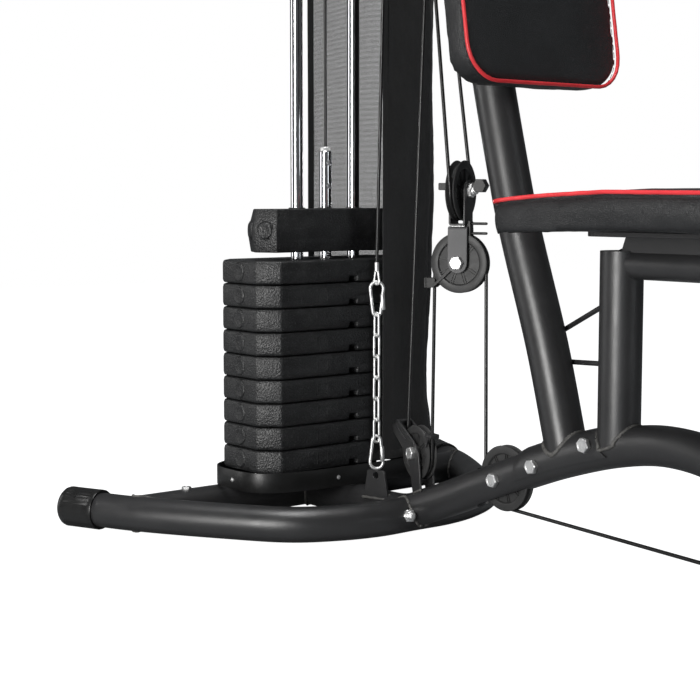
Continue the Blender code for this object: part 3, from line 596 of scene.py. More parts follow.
# ------------------------------------------------------------------ layout, as in the CAD model
GAP = 0.0003
TUBE_R, TUBE_Z = 0.0254, 0.0295
BOOM_Z = 1.950
MAIN = [(-0.045, TUBE_Z), (0.080, TUBE_Z), (0.185, TUBE_Z), (0.2435, 0.0475), (0.303, 0.070), (0.363, 0.095), (0.425, 0.1195),
        (0.510, 0.151), (0.600, 0.177), (0.680, 0.1880), (0.760, 0.1780), (0.840, 0.1450), (0.920, 0.1000), (0.9750, 0.0620),
        (1.0100, TUBE_Z)]
ARC = [(0.2080, 0.0), (0.2080, 0.067), (0.1920, 0.130), (0.1570, 0.190), (0.0850, 0.2430), (-0.0360, 0.3160), (-0.1500, 0.3640)]
UP = [(0.5140, 0.1530), (0.5080, 0.170), (0.4727, 0.296), (0.4250, 0.433), (0.3990, 0.519), (0.3500, 0.720), (0.3130, 0.930),
      (0.2800, 1.200), (0.2570, 1.500), (0.2440, 1.800), (0.2420, BOOM_Z)]
P1, P1_R, P1_A = S(0.2210, 0, 0.1210), 0.0400, math.radians(-12.0)
P2, P2_R, P2_A = S(0.3050, 0, 0.3990), 0.0420, math.radians(24.5)
P2U = S(0.3050, 0, 0.4985)
P3, P4 = S(0.4010, 0, 0.1095), S(0.9000, 0, 0.0880)
T1, T2, T3 = S(0.0415, 0, BOOM_Z), S(0.1480, 0, BOOM_Z), S(0.7600, 0, BOOM_Z)
BIG_R = 0.0450
GUIDE_Z, GUIDE_Y = 1.5000, 0.0450
LEVER = S(1.0000, 0, 0.3950)
PRESS = S(0.3600, 0, 1.8500)
ARM_WHEEL = S(0.5000, 0, 1.5415)
LAT_TOP, LAT_PIVOT = S(0.8015, 0, 1.8000), S(0.8015, 0, 1.7500)
CX, CY = 0.1450, -0.0180
UPV, EX, EY = Vector((0, 0, 1)), Vector((1, 0, 0)), Vector((0, 1, 0))
main_pts = smooth_path([S(x, 0, z) for x, z in MAIN], 0.008)
up_pts = smooth_path([S(x, 0, z) for x, z in UP], 0.02)
MZ = lambda x: float(np.interp(x + X0, [p.x for p in main_pts], [p.z for p in main_pts]))
upx = lambda z: float(np.interp(z, [p.z for p in up_pts], [p.x for p in up_pts])) - X0
GUIDE_X = upx(GUIDE_Z)


def slot_cutter(x0, x1, half, z0, z1, r=None):
    """Slot with round ends, cut along Z."""
    r = half
    out = arc(x1 - r, 0, r, -90, 90, 8) + arc(x0 + r, 0, r, 90, 270, 8)
    return cutter(prism_bm([(a + X0, b) for a, b in out], (0, 0, 0), EX, EY, UPV, z0, z1))


# base tube
o = obj("base_tube", tube_bm(main_pts, TUBE_R, 48), "frame")
cut(o, slot_cutter(P3.x - X0 - 0.054, P3.x - X0 + 0.052, 0.0108, 0.02, 0.22), slot_cutter(P4.x - X0 - 0.052, P4.x - X0 + 0.052, 0.0108, 0.02, 0.22))
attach(o, "root")
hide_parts("base_main_tube")

# rear stabilizer halves, tube under the stack, front stabilizer
arcs = {}
for side, sy in (("right", -1), ("left", 1)):
    pts = smooth_path([S(x, sy * y, TUBE_Z) for x, y in ARC], 0.008)
    arcs[side] = pts
    o = obj("stabilizer_" + side, tube_bm(pts, TUBE_R, 48), "frame", "root")
    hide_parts("rear_stabilizer_" + side)
near = min(arcs["left"], key=lambda p: abs(p.x - X0 + 0.045))
CROSS_Y = near.y - 0.004
o = obj("cross_tube", tube_bm([S(-0.045, y, TUBE_Z) for y in np.linspace(-CROSS_Y, CROSS_Y, 30)], TUBE_R, 48), "frame", "root")
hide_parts("stack_cross_tube")
o = obj("front_tube", tube_bm([S(1.01, y, TUBE_Z) for y in np.linspace(-0.27, 0.27, 30)], TUBE_R, 48), "frame", "root")
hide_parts("front_stabilizer")


def seam(name, pts, r_axis, at, up=UPV, a0=-180, a1=180, tilt=0.0, r=0.0016):
    """Weld bead round a tube: ring of radius r_axis about the path direction at point index at."""
    p = pts[at]
    t = (pts[min(at + 1, len(pts) - 1)] - pts[max(at - 1, 0)]).normalized()
    u = (up - t * up.dot(t)).normalized()
    w = t.cross(u)
    out = []
    for k in range(41):
        a = math.radians(a0 + (a1 - a0) * k / 40)
        out.append(p + (u * math.cos(a) + w * math.sin(a)) * r_axis + t * tilt * math.cos(a))
    return bead(name, out, r)


def junction(name, pts_a, r_a, pts_b, r_b, n=90, lift=0.0005, r=0.0022, reach=0.06, shrink=1.0, span=None, look="weld"):
    """Weld bead where tube a runs into tube b: rays along a's wall meet b's wall."""
    end, nxt = pts_a[0], pts_a[1]
    t = (end - nxt).normalized()
    u = t.orthogonal().normalized()
    w = t.cross(u)
    b = np.array([list(p) for p in pts_b])
    seg0, seg1 = b[:-1], b[1:]

    def dist(q):
        d = seg1 - seg0
        s = np.clip(((np.array(q) - seg0) * d).sum(1) / (d * d).sum(1), 0, 1)
        c = seg0 + d * s[:, None]
        return float(np.min(np.linalg.norm(np.array(q) - c, axis=1)))
    out = []
    for k in range(n):
        a = 2 * math.pi * k / n
        start = end + (u * math.cos(a) + w * math.sin(a)) * (r_a + lift) - t * reach
        lo_s, hit = 0.0, None
        s = 0.0
        while s < reach * 2.2:
            if dist(start + t * s) < r_b + lift:
                hit = s
                break
            s += 0.0015
        if hit is None:
            continue
        out.append(start + t * hit)
    if len(out) < n * 0.9:
        return bead(name, out, r, look=look)
    return bead(name, out, r, closed=True, look=look)


for side in arcs:
    junction("weld_stabilizer_" + side, arcs[side][3:], TUBE_R, main_pts, TUBE_R, reach=0.035)
    junction("weld_cross_" + side, [S(-0.045, (CROSS_Y - 0.004) * (1 if side == "left" else -1), TUBE_Z), S(-0.045, 0, TUBE_Z)], TUBE_R, arcs[side], TUBE_R, reach=0.05)
junction("weld_rear", main_pts[0:2], TUBE_R, [S(-0.045, y, TUBE_Z) for y in np.linspace(-0.2, 0.2, 40)], TUBE_R, reach=0.06)
junction("weld_front", [main_pts[-1], main_pts[-3]], TUBE_R, [S(1.01, y, TUBE_Z) for y in np.linspace(-0.2, 0.2, 40)], TUBE_R, reach=0.07)

# moulded end caps with fine grip ribs on the upper side
CAP_R = TUBE_Z / math.cos(math.pi / 16)


def end_cap(name, node, p, d, long=0.055):
    d = Vector(d).normalized()
    u = (UPV - d * UPV.dot(d)).normalized()
    w = d.cross(u)
    sides = 144
    bm = bmesh.new()
    rr = []
    prof = [(0.0258, -long + 0.0040), (0.0262, -long), (0.0292, -long), (0.0296, -long + 0.0008), (0.0296, -long + 0.0080), (0.02955, -long + 0.0090),
            (0.02955, -0.0050), (0.0296, -0.0040), (0.0296, 0.0020), (0.0286, 0.0052), (0.0262, 0.0080), (0.0220, 0.0094), (0.0120, 0.0099), (0.0010, 0.0100)]
    for i, (r, h) in enumerate(prof):
        ring = []
        for s in range(sides):
            a = 2 * math.pi * s / sides
            rr_ = r
            if 5 <= i <= 6 and -1.25 < ((a + math.pi) % (2 * math.pi)) - math.pi < 1.25:
                rr_ -= 0.0010 * (0.5 - 0.5 * math.cos(a * 36)) ** 2
            # flat underside that stands on the floor
            q = (u * math.cos(a) + w * math.sin(a)) * rr_
            ring.append(p + q + d * h)
        rr.append(ring)
    rings(bm, rr)
    for v in bm.verts:
        if v.co.z < 0.0004:
            v.co.z = 0.0004
    o = obj(name, bm, "cap", "root", sharp=50)
    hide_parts(node)
    return o


for side in ("right", "left"):
    a, b = arcs[side][-3], arcs[side][-1]
    end_cap("end_cap_rear_" + side, "rear_cap_" + side, b, b - a)
end_cap("end_cap_front_right", "front_cap_right", S(1.01, -0.27, TUBE_Z), (0, -1, 0))
end_cap("end_cap_front_left", "front_cap_left", S(1.01, 0.27, TUBE_Z), (0, 1, 0))

# upright with its half sleeve saddle
UPR = 0.0279
bm = tube_bm(up_pts, UPR, 56)
sx = np.linspace(0.446, 0.590, 30)
SAD_N = 44
outer, inner = [], []
for i, x in enumerate(sx):
    sl = (MZ(x + 0.004) - MZ(x - 0.004)) / 0.008
    nrm, tan = Vector((-sl, 0, 1)).normalized(), Vector((1, 0, sl)).normalized()
    f = i / (len(sx) - 1)
    e = min(1.0, min(f, 1 - f) * 14)
    ro, ri = TUBE_R + 0.0022 + 0.0016 * e, TUBE_R + 0.0003
    for r_, dest in ((ro, outer), (ri, inner)):
        ring = []
        for k in range(SAD_N + 1):
            a = math.radians(-112 + 224 * k / SAD_N)
            front = 0.020 * (abs(a) / 1.95) ** 2.2 - 0.012
            rear = -0.012 * (abs(a) / 1.95) ** 2.0
            skew = front * max(0.0, (f - 0.55) / 0.45) + rear * max(0.0, (0.35 - f) / 0.35)
            ring.append(S(x, 0, MZ(x)) + tan * skew + (nrm * math.cos(a) + EY * math.sin(a)) * r_)
        dest.append(ring)
rings(bm, [o_ + i_[::-1] for o_, i_ in zip(outer, inner)])
o = obj("upright", bm, "frame", "root", sharp=40)
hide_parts("main_upright")
junction("weld_upright", up_pts, UPR, main_pts, TUBE_R + 0.0036, reach=0.075, r=0.0030, n=120)

# seat post, rail, pan, fork, knee roller tube
POST_X, RAIL_Z = 0.5985, 0.4080
bm = tube_bm([S(POST_X, 0, z) for z in np.linspace(MZ(POST_X) + 0.004, RAIL_Z + 0.016, 24)], 0.0272, 48)
o = obj("post_tube", bm, "frame", "root")
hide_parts("seat_post")
junction("weld_post", [S(POST_X, 0, MZ(POST_X) + 0.004), S(POST_X, 0, 0.28)], 0.0272, main_pts, TUBE_R, reach=0.06, r=0.0024)
bm = tube_bm([S(x, 0, RAIL_Z) for x in np.linspace(POST_X + 0.002, 0.956, 20)], 0.0190, 40)
obj("rail_tube", bm, "frame", "root")
bm = prism_bm([(a + X0, b) for a, b in rounded(0.1150, 0.072, 0.012, 5, 0.7150, 0.0)], (0, 0, 0), EX, EY, UPV, 0.4430, 0.4496)
o = bevel(obj("seat_pan", bm, "frame_dark", "root"), 0.0010)
bm = prism_bm([(0.600 + X0, 0.405), (0.840 + X0, 0.405), (0.826 + X0, 0.4428), (0.614 + X0, 0.4428)], (0, 0, 0), EX, UPV, EY, -0.012, 0.012)
bevel(obj("pan_rib", bm, "frame_dark", "root"), 0.0012)
fork = [(0.935, 0.390), (0.985, 0.372), (1.006, 0.374), (1.016, 0.382), (1.020, 0.395), (1.016, 0.406), (1.006, 0.414), (0.985, 0.430), (0.972, 0.455),
        (0.966, 0.470), (0.946, 0.470), (0.940, 0.455)]
bm = bmesh.new()
for y0, y1 in ((-0.0270, -0.0210), (0.0210, 0.0270)):
    prism_bm([(a + X0, b) for a, b in fork], (0, 0, 0), EX, UPV, EY, y0, y1, bm)
bevel(obj("fork_plates", bm, "frame_dark", "root", weld=0), 0.0010)
bm = box_bm((0.9340 + X0, -0.0208, 0.3945), (0.9595 + X0, 0.0208, 0.4295))
bevel(obj("fork_block", bm, "frame_dark", "root"), 0.0020)
bm = tube_bm([S(0.9560, y, 0.4560) for y in np.linspace(-0.205, 0.205, 16)], 0.0125, 28)
obj("knee_tube", bm, "frame", "root")
for sy in (-1, 1):
    bolt("lever_axle_%s" % ("right" if sy < 0 else "left"), S(1.0, sy * 0.0272, 0.395), (0, sy, 0), "root", nut=sy > 0, washer=0.0110, shank=0.022)

# two brace rods between the upright's left side and the seat post
brace = []
for a, b in (((0.4700, 0.0300, 0.3131), (POST_X - 0.0245, 0.0080, 0.3590)), ((0.4755, 0.0300, 0.2734), (POST_X - 0.0245, 0.0080, 0.2795))):
    a, b = S(*a), S(*b)
    brace.append([a.lerp(b, k / 14) for k in range(15)])
bm = bmesh.new()
for pts in brace:
    tube_bm(pts, 0.0034, 18, bm)
o = obj("brace_rods", bm, "frame_dark", "root")
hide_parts("seat_brace")

# overhead boom with its slots, press lugs and guide rod plate
o = obj("boom_tube", tube_bm([S(x, 0, BOOM_Z) for x in np.linspace(-0.060, 0.830, 40)], TUBE_R, 48), "frame")
cut(o, slot_cutter(-0.014, 0.208, 0.0108, 1.90, 2.00), slot_cutter(0.708, 0.816, 0.0108, 1.90, 2.00))
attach(o, "root")
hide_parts("top_boom")
lug = [(0.330, BOOM_Z - 0.012), (0.390, BOOM_Z - 0.012), (0.385, PRESS.z - 0.010), (0.379, PRESS.z - 0.018), (0.370, PRESS.z - 0.0232), (0.360, PRESS.z - 0.0240),
       (0.350, PRESS.z - 0.0232), (0.341, PRESS.z - 0.018), (0.335, PRESS.z - 0.010)]
bm = bmesh.new()
for y0, y1 in ((-0.0235, -0.0185), (0.0185, 0.0235)):
    prism_bm([(a + X0, b) for a, b in lug], (0, 0, 0), EX, UPV, EY, y0, y1, bm)
bevel(obj("press_lugs", bm, "frame_dark", "root", weld=0), 0.0010)
bm = prism_bm([(a + X0, b) for a, b in rounded(0.030, 0.085, 0.010, 5)], (0, 0, 0), EX, EY, UPV, BOOM_Z - TUBE_R - 0.005, BOOM_Z - TUBE_R + 0.001)
bevel(obj("rod_plate", bm, "frame_dark", "root"), 0.0010)
junction("weld_boom", up_pts[::-1], UPR, [S(x, 0, BOOM_Z) for x in np.linspace(0, 0.5, 40)], TUBE_R, reach=0.06, r=0.0024)
for i, x in enumerate((-0.0602, 0.8302)):
    d = -1 if i == 0 else 1
    bm = spun([(0, 0.0), (0.0256, 0.0), (0.0256, 0.0022), (0.0240, 0.0040), (0.0120, 0.0050), (0, 0.0052)], S(x, 0, BOOM_Z), (d, 0, 0), 48)
    obj("boom_plug_%d" % (i + 1), bm, "cap", "root")
for sy in (-1, 1):
    bolt("press_axle_%s" % ("right" if sy < 0 else "left"), S(0.36, sy * 0.0237, PRESS.z), (0, sy, 0), "root", nut=sy > 0, washer=0.0105, shank=0.022)
    for i, t in enumerate((T1, T2, T3)):
        bolt("top_axle_%d_%s" % (i + 1, "right" if sy < 0 else "left"), t + Vector((0, sy * 0.0250, 0)), (0, sy, 0), "root", nut=sy > 0, shank=0.020)
    bolt("low_axle_%s" % ("right" if sy < 0 else "left"), P4 + Vector((0, sy * 0.0252, 0)), (0, sy, 0), "root", nut=sy > 0, shank=0.020)
    bolt("guide_axle_%s" % ("right" if sy < 0 else "left"), S(GUIDE_X, sy * (GUIDE_Y + 0.0100), GUIDE_Z), (0, sy, 0), "root", nut=sy > 0, washer=0.0115, shank=0.034)

# bolts of the base tube that show on its right side, and their nuts on the left
for i, (x, y, z, tl) in enumerate(((0.401, 0.0254, 0.1095, 0.2), (0.477, 0.0291, 0.139, 0.45), (0.568, 0.0291, 0.179, 0.1))):
    bolt("base_bolt_%d" % (i + 1), S(x, -y, z), (0, -1, 0), "root", turn=tl, shank=0.016, head=0.0068, af=0.0175, washer=0.0)
    bolt("base_nut_%d" % (i + 1), S(x, y, z), (0, 1, 0), "root", nut=True, turn=tl, shank=0.016)


# ------------------------------------------------------------------ weight stack
PLATES, PITCH, PLATE_T, PLATE_Z0 = 9, 0.035, 0.0342, 0.0820
PW, PC, PE, PN = 0.0693, 0.1360, 0.1630, 0.0430
OUT8 = [(PW, PC), (PN, PE), (-PN, PE), (-PW, PC), (-PW, -PC), (-PN, -PE), (PN, -PE), (PW, -PC)]
ROD_Y, ROD_R = 0.055, 0.0095


def boss(bm, at, d, r=0.0128, h=0.0019):
    prof = [(0.0, -0.001), (r + 0.0022, -0.001), (r + 0.0022, 0.0002), (r + 0.0012, -0.0006), (r + 0.0004, 0.0), (r, h * 0.6), (r - 0.0009, h * 0.95), (r - 0.0030, h),
            (r - 0.0042, h * 0.72), (0.0040, h * 0.62), (0.0, h * 0.62)]
    spun(prof, at, d, 40, bm)


def round_block(name, layers, look, body, w=0.0034, notch=None):
    bm = bmesh.new()
    rings(bm, [[S(x, y, z) for x, y in poly] for z, poly in layers])
    o = obj(name + "_raw", bm, look)
    if notch:
        cut(o, notch)
    bevel(o, w, 3, 20)
    baked(o)
    sub = bmesh.new()
    sub.from_mesh(o.data)
    bpy.data.objects.remove(o, do_unlink=True)
    return sub


for i in range(PLATES):
    z = PLATE_Z0 + i * PITCH
    lay = [(z + 0.0004, [(x * 0.985, y * 0.993) for x, y in OUT8]), (z + 0.0060, OUT8), (z + PLATE_T - 0.0060, OUT8), (z + PLATE_T, [(x * 0.985, y * 0.993) for x, y in OUT8])]
    nc = cutter(box_bm((PW - 0.020 + X0, -0.0072, z - 0.002), (PW + 0.004 + X0, 0.0072, z + 0.0092)))
    bm = round_block("plate", lay, "vinyl", None, 0.0030, nc)
    for s in (-1, 1):
        boss(bm, S(0.0, s * (PE - 0.0002), z + PLATE_T / 2), (0, s, 0))
    # blank raised field on the front, where a number would be
    fz = z + PLATE_T / 2
    for a, b, c, d in ((-0.0095, 0.0095, 0.0085, 0.0096), (-0.0095, 0.0095, -0.0096, -0.0085), (-0.0106, -0.0095, -0.0096, 0.0096), (0.0095, 0.0106, -0.0096, 0.0096)):
        prism_bm([(a, c), (b, c), (b, d), (a, d)], S(PW - 0.0003, -0.060, fz), EY, UPV, EX, 0.0, 0.0010, bm)
    o = obj("plate_%d" % (i + 1), bm, "vinyl", "weight_carriage", sharp=60, weld=0)
    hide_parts("weight_plate_%d" % (i + 1))

TOP_Z0, TOP_T = 0.4070, 0.0650
TW, TC, TE, TN = 0.0365, 0.1205, 0.1362, 0.0020
top = [(TW, TC), (TN, TE), (-TN, TE), (-TW, TC), (-TW, -TC), (-TN, -TE), (TN, -TE), (TW, -TC)]
lay = [(z, [(x * (1 - d / TW), y - math.copysign(d, y)) for x, y in top]) for z, d in
       ((TOP_Z0 + 0.0004, 0.0030), (TOP_Z0 + 0.026, 0.0), (TOP_Z0 + 0.034, 0.0002), (TOP_Z0 + TOP_T, 0.0060))]
bm = round_block("top", lay, "vinyl", None, 0.0042)
for s in (-1, 1):
    for f in (-1, 1):
        boss(bm, S(f * 0.0186, s * 0.1284, TOP_Z0 + 0.033), (f * 0.398, s * 0.917, 0), 0.0120, 0.0022)
for y, r in ((-ROD_Y, 0.0128), (0.0, 0.0128), (ROD_Y, 0.0128)):
    revolve_bm([(r - 0.0031, 0.0), (r, 0.0), (r, 0.0016), (r - 0.0008, 0.0022), (r - 0.0031, 0.0022)], S(0, y, TOP_Z0 + TOP_T - 0.0004), UPV, 40, bm)
o = obj("plate_top", bm, "vinyl", "weight_carriage", sharp=60, weld=0)
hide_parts("top_plate")

# selector rod with its pin holes, and the cable's threaded end in its top
SEL_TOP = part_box("selector_rod")[1].z
bm = spun([(0, 0.0), (ROD_R - 0.0010, 0.0), (ROD_R, 0.0010), (ROD_R, SEL_TOP - 0.0852), (ROD_R - 0.0012, SEL_TOP - 0.0840), (0, SEL_TOP - 0.0840)], S(0, 0, 0.0840), UPV, 48)
o = obj("selector", bm, "chrome")
holes = []
z = 0.0865
while z < SEL_TOP - 0.006:
    if z > 0.39:
        holes.append(cutter(spun([(0, -0.02), (0.0046, -0.02), (0.0046, 0.02), (0, 0.02)], S(0, 0, z), EX, 24)))
    z += PITCH
cut(o, *holes)
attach(o, "weight_carriage")
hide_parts("selector_rod")
zf = SEL_TOP
bolt("selector_nut", S(0, 0, zf), UPV, "weight_carriage", af=0.013, head=0.006, thread=0.0)
for side, y in (("right", -ROD_Y), ("left", ROD_Y)):
    zt = BOOM_Z - TUBE_R - 0.0053
    bm = spun([(0, 0), (ROD_R - 0.0008, 0), (ROD_R, 0.0008), (ROD_R, zt - 0.0621), (ROD_R - 0.0008, zt - 0.0613), (0, zt - 0.0613)], S(0, y, 0.0613), UPV, 48)
    o = obj("rod_" + side, bm, "chrome", "root")
    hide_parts("guide_rod_" + side)

for n, look in (("stack_base_plate", "frame_dark"), ("stack_buffer", "rubber"), ("shroud_hanger", "frame_dark"), ("backrest_bracket", "frame_dark")):
    o = frame["nodes"][n]
    o.data.materials.clear()
    o.data.materials.append(M[look])
    if n in ("stack_base_plate", "backrest_bracket"):
        bevel(o, 0.0015, 2, 40)
for s in (-1, 1):
    bolt("base_plate_bolt_%s" % ("right" if s < 0 else "left"), S(-0.045, s * 0.078, 0.0610), UPV, "root", af=0.013, head=0.0052, washer=0.0095, turn=0.3)
bolt("stabilizer_nut_right", S(-0.045, -0.2295, TUBE_Z + TUBE_R - 0.0006), UPV, "root", af=0.013, head=0.0045, turn=0.1)


# ------------------------------------------------------------------ band round the foot of the stack
def oval(a, b, n=36, p=3.4):
    out = []
    for k in range(n):
        t = 2 * math.pi * k / n
        c, s = math.cos(t), math.sin(t)
        out.append((a * math.copysign(abs(c) ** (2 / p), c), b * math.copysign(abs(s) ** (2 / p), s)))
    return out


def even(poly, n):
    """Closed outline resampled to n even steps."""
    q = [Vector((x, y, 0)) for x, y in poly]
    q.append(q[0])
    d = [0.0]
    for a, b in zip(q, q[1:]):
        d.append(d[-1] + (b - a).length)
    t = np.linspace(0, d[-1], n, endpoint=False)
    return list(zip(np.interp(t, d, [v.x for v in q]), np.interp(t, d, [v.y for v in q])))


BA, BB, BZ0, BZ1 = 0.0860, 0.1800, 0.0560, 0.0850
mid = even(oval(BA - 0.00125, BB - 0.00125, 720), 220)
bm = bmesh.new()
rr = []
for i, (x, y) in enumerate(mid):
    a, b = Vector(mid[i - 1]), Vector(mid[(i + 1) % len(mid)])
    t = (b - a).normalized()
    nr = Vector((t.y, -t.x))
    wob = 0.0004 * noise.noise(Vector((x * 30, y * 30, 1.0)))
    ring = []
    for h, zz in ((-0.00095, BZ0), (0.00095, BZ0), (0.00125, BZ0 + 0.0006), (0.00125, BZ1 - 0.0006), (0.00095, BZ1), (-0.00095, BZ1), (-0.00125, BZ1 - 0.0006), (-0.00125, BZ0 + 0.0006)):
        ring.append(S(x + nr.x * (h + wob), y + nr.y * (h + wob), zz))
    rr.append(ring)
rings(bm, rr, closed=True)
o = obj("foot_band", bm, "band", "root", sharp=40)
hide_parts("shroud_band")
for i, (x, y, nx, ny) in enumerate(((0.004, -0.1800, 0, -1), (0.0860, -0.043, 1, 0), (-0.0860, -0.03, -1, 0), (0.0, 0.1800, 0, 1))):
    d = Vector((nx, ny, 0))
    prof = [(0.0, -0.0008), (0.0030, -0.0008), (0.0032, 0.0002), (0.0030, 0.0010), (0.0020, 0.0017), (0.0, 0.0019)]
    bm = spun(prof, S(x, y, 0.0700), d, 24)
    o = obj("band_screw_%d" % (i + 1), bm, "zinc")
    ax, u, w = basis(d)
    c = cutter(prism_bm([(-0.0018, -0.00035), (0.0018, -0.00035), (0.0018, 0.00035), (-0.0018, 0.00035)], S(x, y, 0.0700), u, w, ax, 0.0009, 0.0030))
    c2 = cutter(prism_bm([(-0.00035, -0.0018), (0.00035, -0.0018), (0.00035, 0.0018), (-0.00035, 0.0018)], S(x, y, 0.0700), u, w, ax, 0.0009, 0.0030))
    cut(o, c, c2)
    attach(o, "root")

# ------------------------------------------------------------------ shroud: cloth front, open mesh back
SHX, SHY, SHR = 0.0930, 0.1880, 0.0600
plan = [(SHX, 0.0370), (SHX, 0.085), (SHX, SHY - SHR)] + [(SHX - SHR + SHR * math.cos(math.radians(a)), SHY - SHR + SHR * math.sin(math.radians(a))) for a in range(6, 91, 6)] + [(0.0, SHY)]
back = [(-x, y) for x, y in plan]


def along(poly, n):
    q = [Vector((x, y, 0)) for x, y in poly]
    d = [0.0]
    for a, b in zip(q, q[1:]):
        d.append(d[-1] + (b - a).length)
    t = np.linspace(0, d[-1], n)
    return list(zip(np.interp(t, d, [v.x for v in q]), np.interp(t, d, [v.y for v in q]))), d[-1]


SZ0, SZ1 = 0.0900, 1.7600
PULL = [0.0110, 0.0140, 0.0170, 0.0150, 0.0200, 0.0170, 0.0140, 0.0080, 0.0]


def curtain(name, poly, look, cols, rows, seed, amp, thick=0.0008):
    line, width = along(poly, cols)
    zs = np.linspace(SZ0, SZ1, rows)
    bm = bmesh.new()
    grid = []
    for z in zs:
        row = []
        for j, (x, y) in enumerate(line):
            a, b = Vector(line[max(j - 1, 0)]), Vector(line[min(j + 1, cols - 1)])
            t = (b - a).normalized()
            nr = Vector((t.y, -t.x)) if look == "cloth" else Vector((-t.y, t.x))
            f = j / (cols - 1)
            s = f * width
            edge = min(1.0, s / 0.02)
            hold = min(1.0, (SZ1 - z) / 0.10)
            # long hanging folds, slack waves low down, fine creases
            d = 0.0022 * math.sin(s * 46.0 + 2.2 * math.sin(z * 3.1 + seed)) * (0.35 + 0.65 * hold)
            d += 0.0034 * noise.noise(Vector((s * 14.0 + seed, z * 4.2, 0.3)))
            d += 0.0018 * noise.noise(Vector((s * 34.0, z * 11.0 + seed, 5.3)))
            d += 0.0007 * noise.noise(Vector((s * 90.0 + z * 55.0, z * 60.0 - s * 40.0, 2.0 + seed)))
            if look == "cloth":
                d -= float(np.interp(z, [0.09, 0.12, 0.17, 0.215, 0.30, 0.42, 0.55, 1.2, 1.76], PULL)) * min(1.0, max(0.0, (s - 0.02) / 0.10)) ** 1.3
            low = math.exp(-((z - 0.215) / 0.055) ** 2)
            d -= 0.0070 * low * min(1.0, s / 0.10) * (1 if look == "cloth" else 0.3)
            d += 0.0030 * math.exp(-((z - 0.50) / 0.12) ** 2) * min(1.0, s / 0.12)
            d = d * amp * (0.35 + 0.65 * edge) * (0.3 + 0.7 * hold)
            row.append(bm.verts.new(S(x + nr.x * d, y + nr.y * d, z)))
        grid.append(row)
    for i in range(rows - 1):
        for j in range(cols - 1):
            bm.faces.new((grid[i][j], grid[i][j + 1], grid[i + 1][j + 1], grid[i + 1][j]))
    edge_pts = [v.co.copy() for v in [r[0] for r in grid]]
    far_pts = [v.co.copy() for v in [r[-1] for r in grid]]
    low_pts = [v.co.copy() for v in grid[0]]
    top_pts = [v.co.copy() for v in grid[-1]]
    o = obj(name, bm, look, None, sharp=180, weld=0)
    sol = o.modifiers.new("thick", "SOLIDIFY")
    sol.thickness = thick
    sol.offset = 0.0
    baked(o)
    o.data.shade_smooth()
    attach(o, "root")
    return o, width, edge_pts, far_pts, low_pts, top_pts


def strip(name, pts, wide, thick, across, look="cloth", stitch=True):
    """Folded hem: a flat, soft-edged strip along pts; across(i) is its width direction."""
    bm = bmesh.new()
    rr = []
    n = len(pts)
    for i, p in enumerate(pts):
        t = (pts[min(i + 1, n - 1)] - pts[max(i - 1, 0)]).normalized()
        e = across(i)
        e = (e - t * e.dot(t)).normalized()
        w = t.cross(e)
        ring = []
        for k in range(14):
            a = 2 * math.pi * k / 14
            c, s = math.cos(a), math.sin(a)
            ring.append(p + e * (wide / 2) * (1 + math.copysign(abs(c) ** 0.45, c)) + w * (thick / 2) * math.copysign(abs(s) ** 0.7, s)
                        - w * (0.0004 * math.exp(-((c - 0.55) / 0.12) ** 2)) * (1 if s > 0 else -1))
        rr.append(ring)
    rings(bm, rr)
    return obj(name, bm, look, "root", sharp=50)


front_cloth, wf, e_f, f_f, l_f, t_f = curtain("shroud_front", plan, "cloth", 90, 240, 1.7, 1.0)
back_mesh, wb, e_b, f_b, l_b, t_b = curtain("shroud_back", back, "mesh", 60, 160, 4.1, 0.7, 0.0006)
hem_f = strip("hem_front", e_f, 0.0095, 0.0026, lambda i: EY)
hem_b = strip("hem_back", e_b, 0.0120, 0.0026, lambda i: EY)
hem_s = strip("hem_side", f_f, 0.0100, 0.0022, lambda i: -EX)
hem_ft = strip("hem_front_top", t_f, 0.0160, 0.0026, lambda i: -UPV)
hem_bt = strip("hem_back_top", t_b, 0.0160, 0.0026, lambda i: -UPV)
hem_fl = strip("hem_front_low", l_f, 0.0120, 0.0026, lambda i: UPV)
hem_bl = strip("hem_back_low", l_b, 0.0120, 0.0026, lambda i: UPV)
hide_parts("shroud")


# ------------------------------------------------------------------ pulleys
def pulley(name, node, body, centre, axis, r, bush=None, phase=0.0):
    pr = [(0.0054, -0.0078), (0.0112, -0.0078), (0.0122, -0.0070), (0.0124, -0.0046), (r - 0.0122, -0.0042), (r - 0.0114, -0.0058), (r - 0.0104, -0.0067),
          (r - 0.0088, -0.0070), (r - 0.0016, -0.0069), (r - 0.0004, -0.0064), (r, -0.0056), (r - 0.0004, -0.0049), (r - 0.0026, -0.0036), (r - 0.0048, -0.0024),
          (r - 0.0058, -0.0012)]
    pr = pr + [(r - 0.0061, 0.0)] + [(a, -h) for a, h in pr[::-1]]
    bm = revolve_bm(pr, centre, axis, 72)
    ax = Vector(axis).normalized()
    u = ax.orthogonal().normalized()
    w = ax.cross(u)
    for k in range(9):
        for off in (-0.0017, 0.0017):
            a = 2 * math.pi * k / 9 + phase
            e = u * math.cos(a) + w * math.sin(a)
            q = ax.cross(e)
            for s in (-1, 1):
                prism_bm([(0.0120, off - 0.00055), (r - 0.0116, off - 0.00055), (r - 0.0116, off + 0.00055), (0.0120, off + 0.00055)], centre, e, q, ax,
                         0.0040 * s, 0.0058 * s, bm)
    o = obj(name, bm, "nylon", body, sharp=28, weld=0)
    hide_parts(node)
    if bush:
        b = revolve_bm([(0.0052, -0.0092), (0.0075, -0.0092), (0.0080, -0.0086), (0.0080, 0.0086), (0.0075, 0.0092), (0.0052, 0.0092)], centre, axis, 40)
        obj(name + "_bush", b, bush, body)
    return o


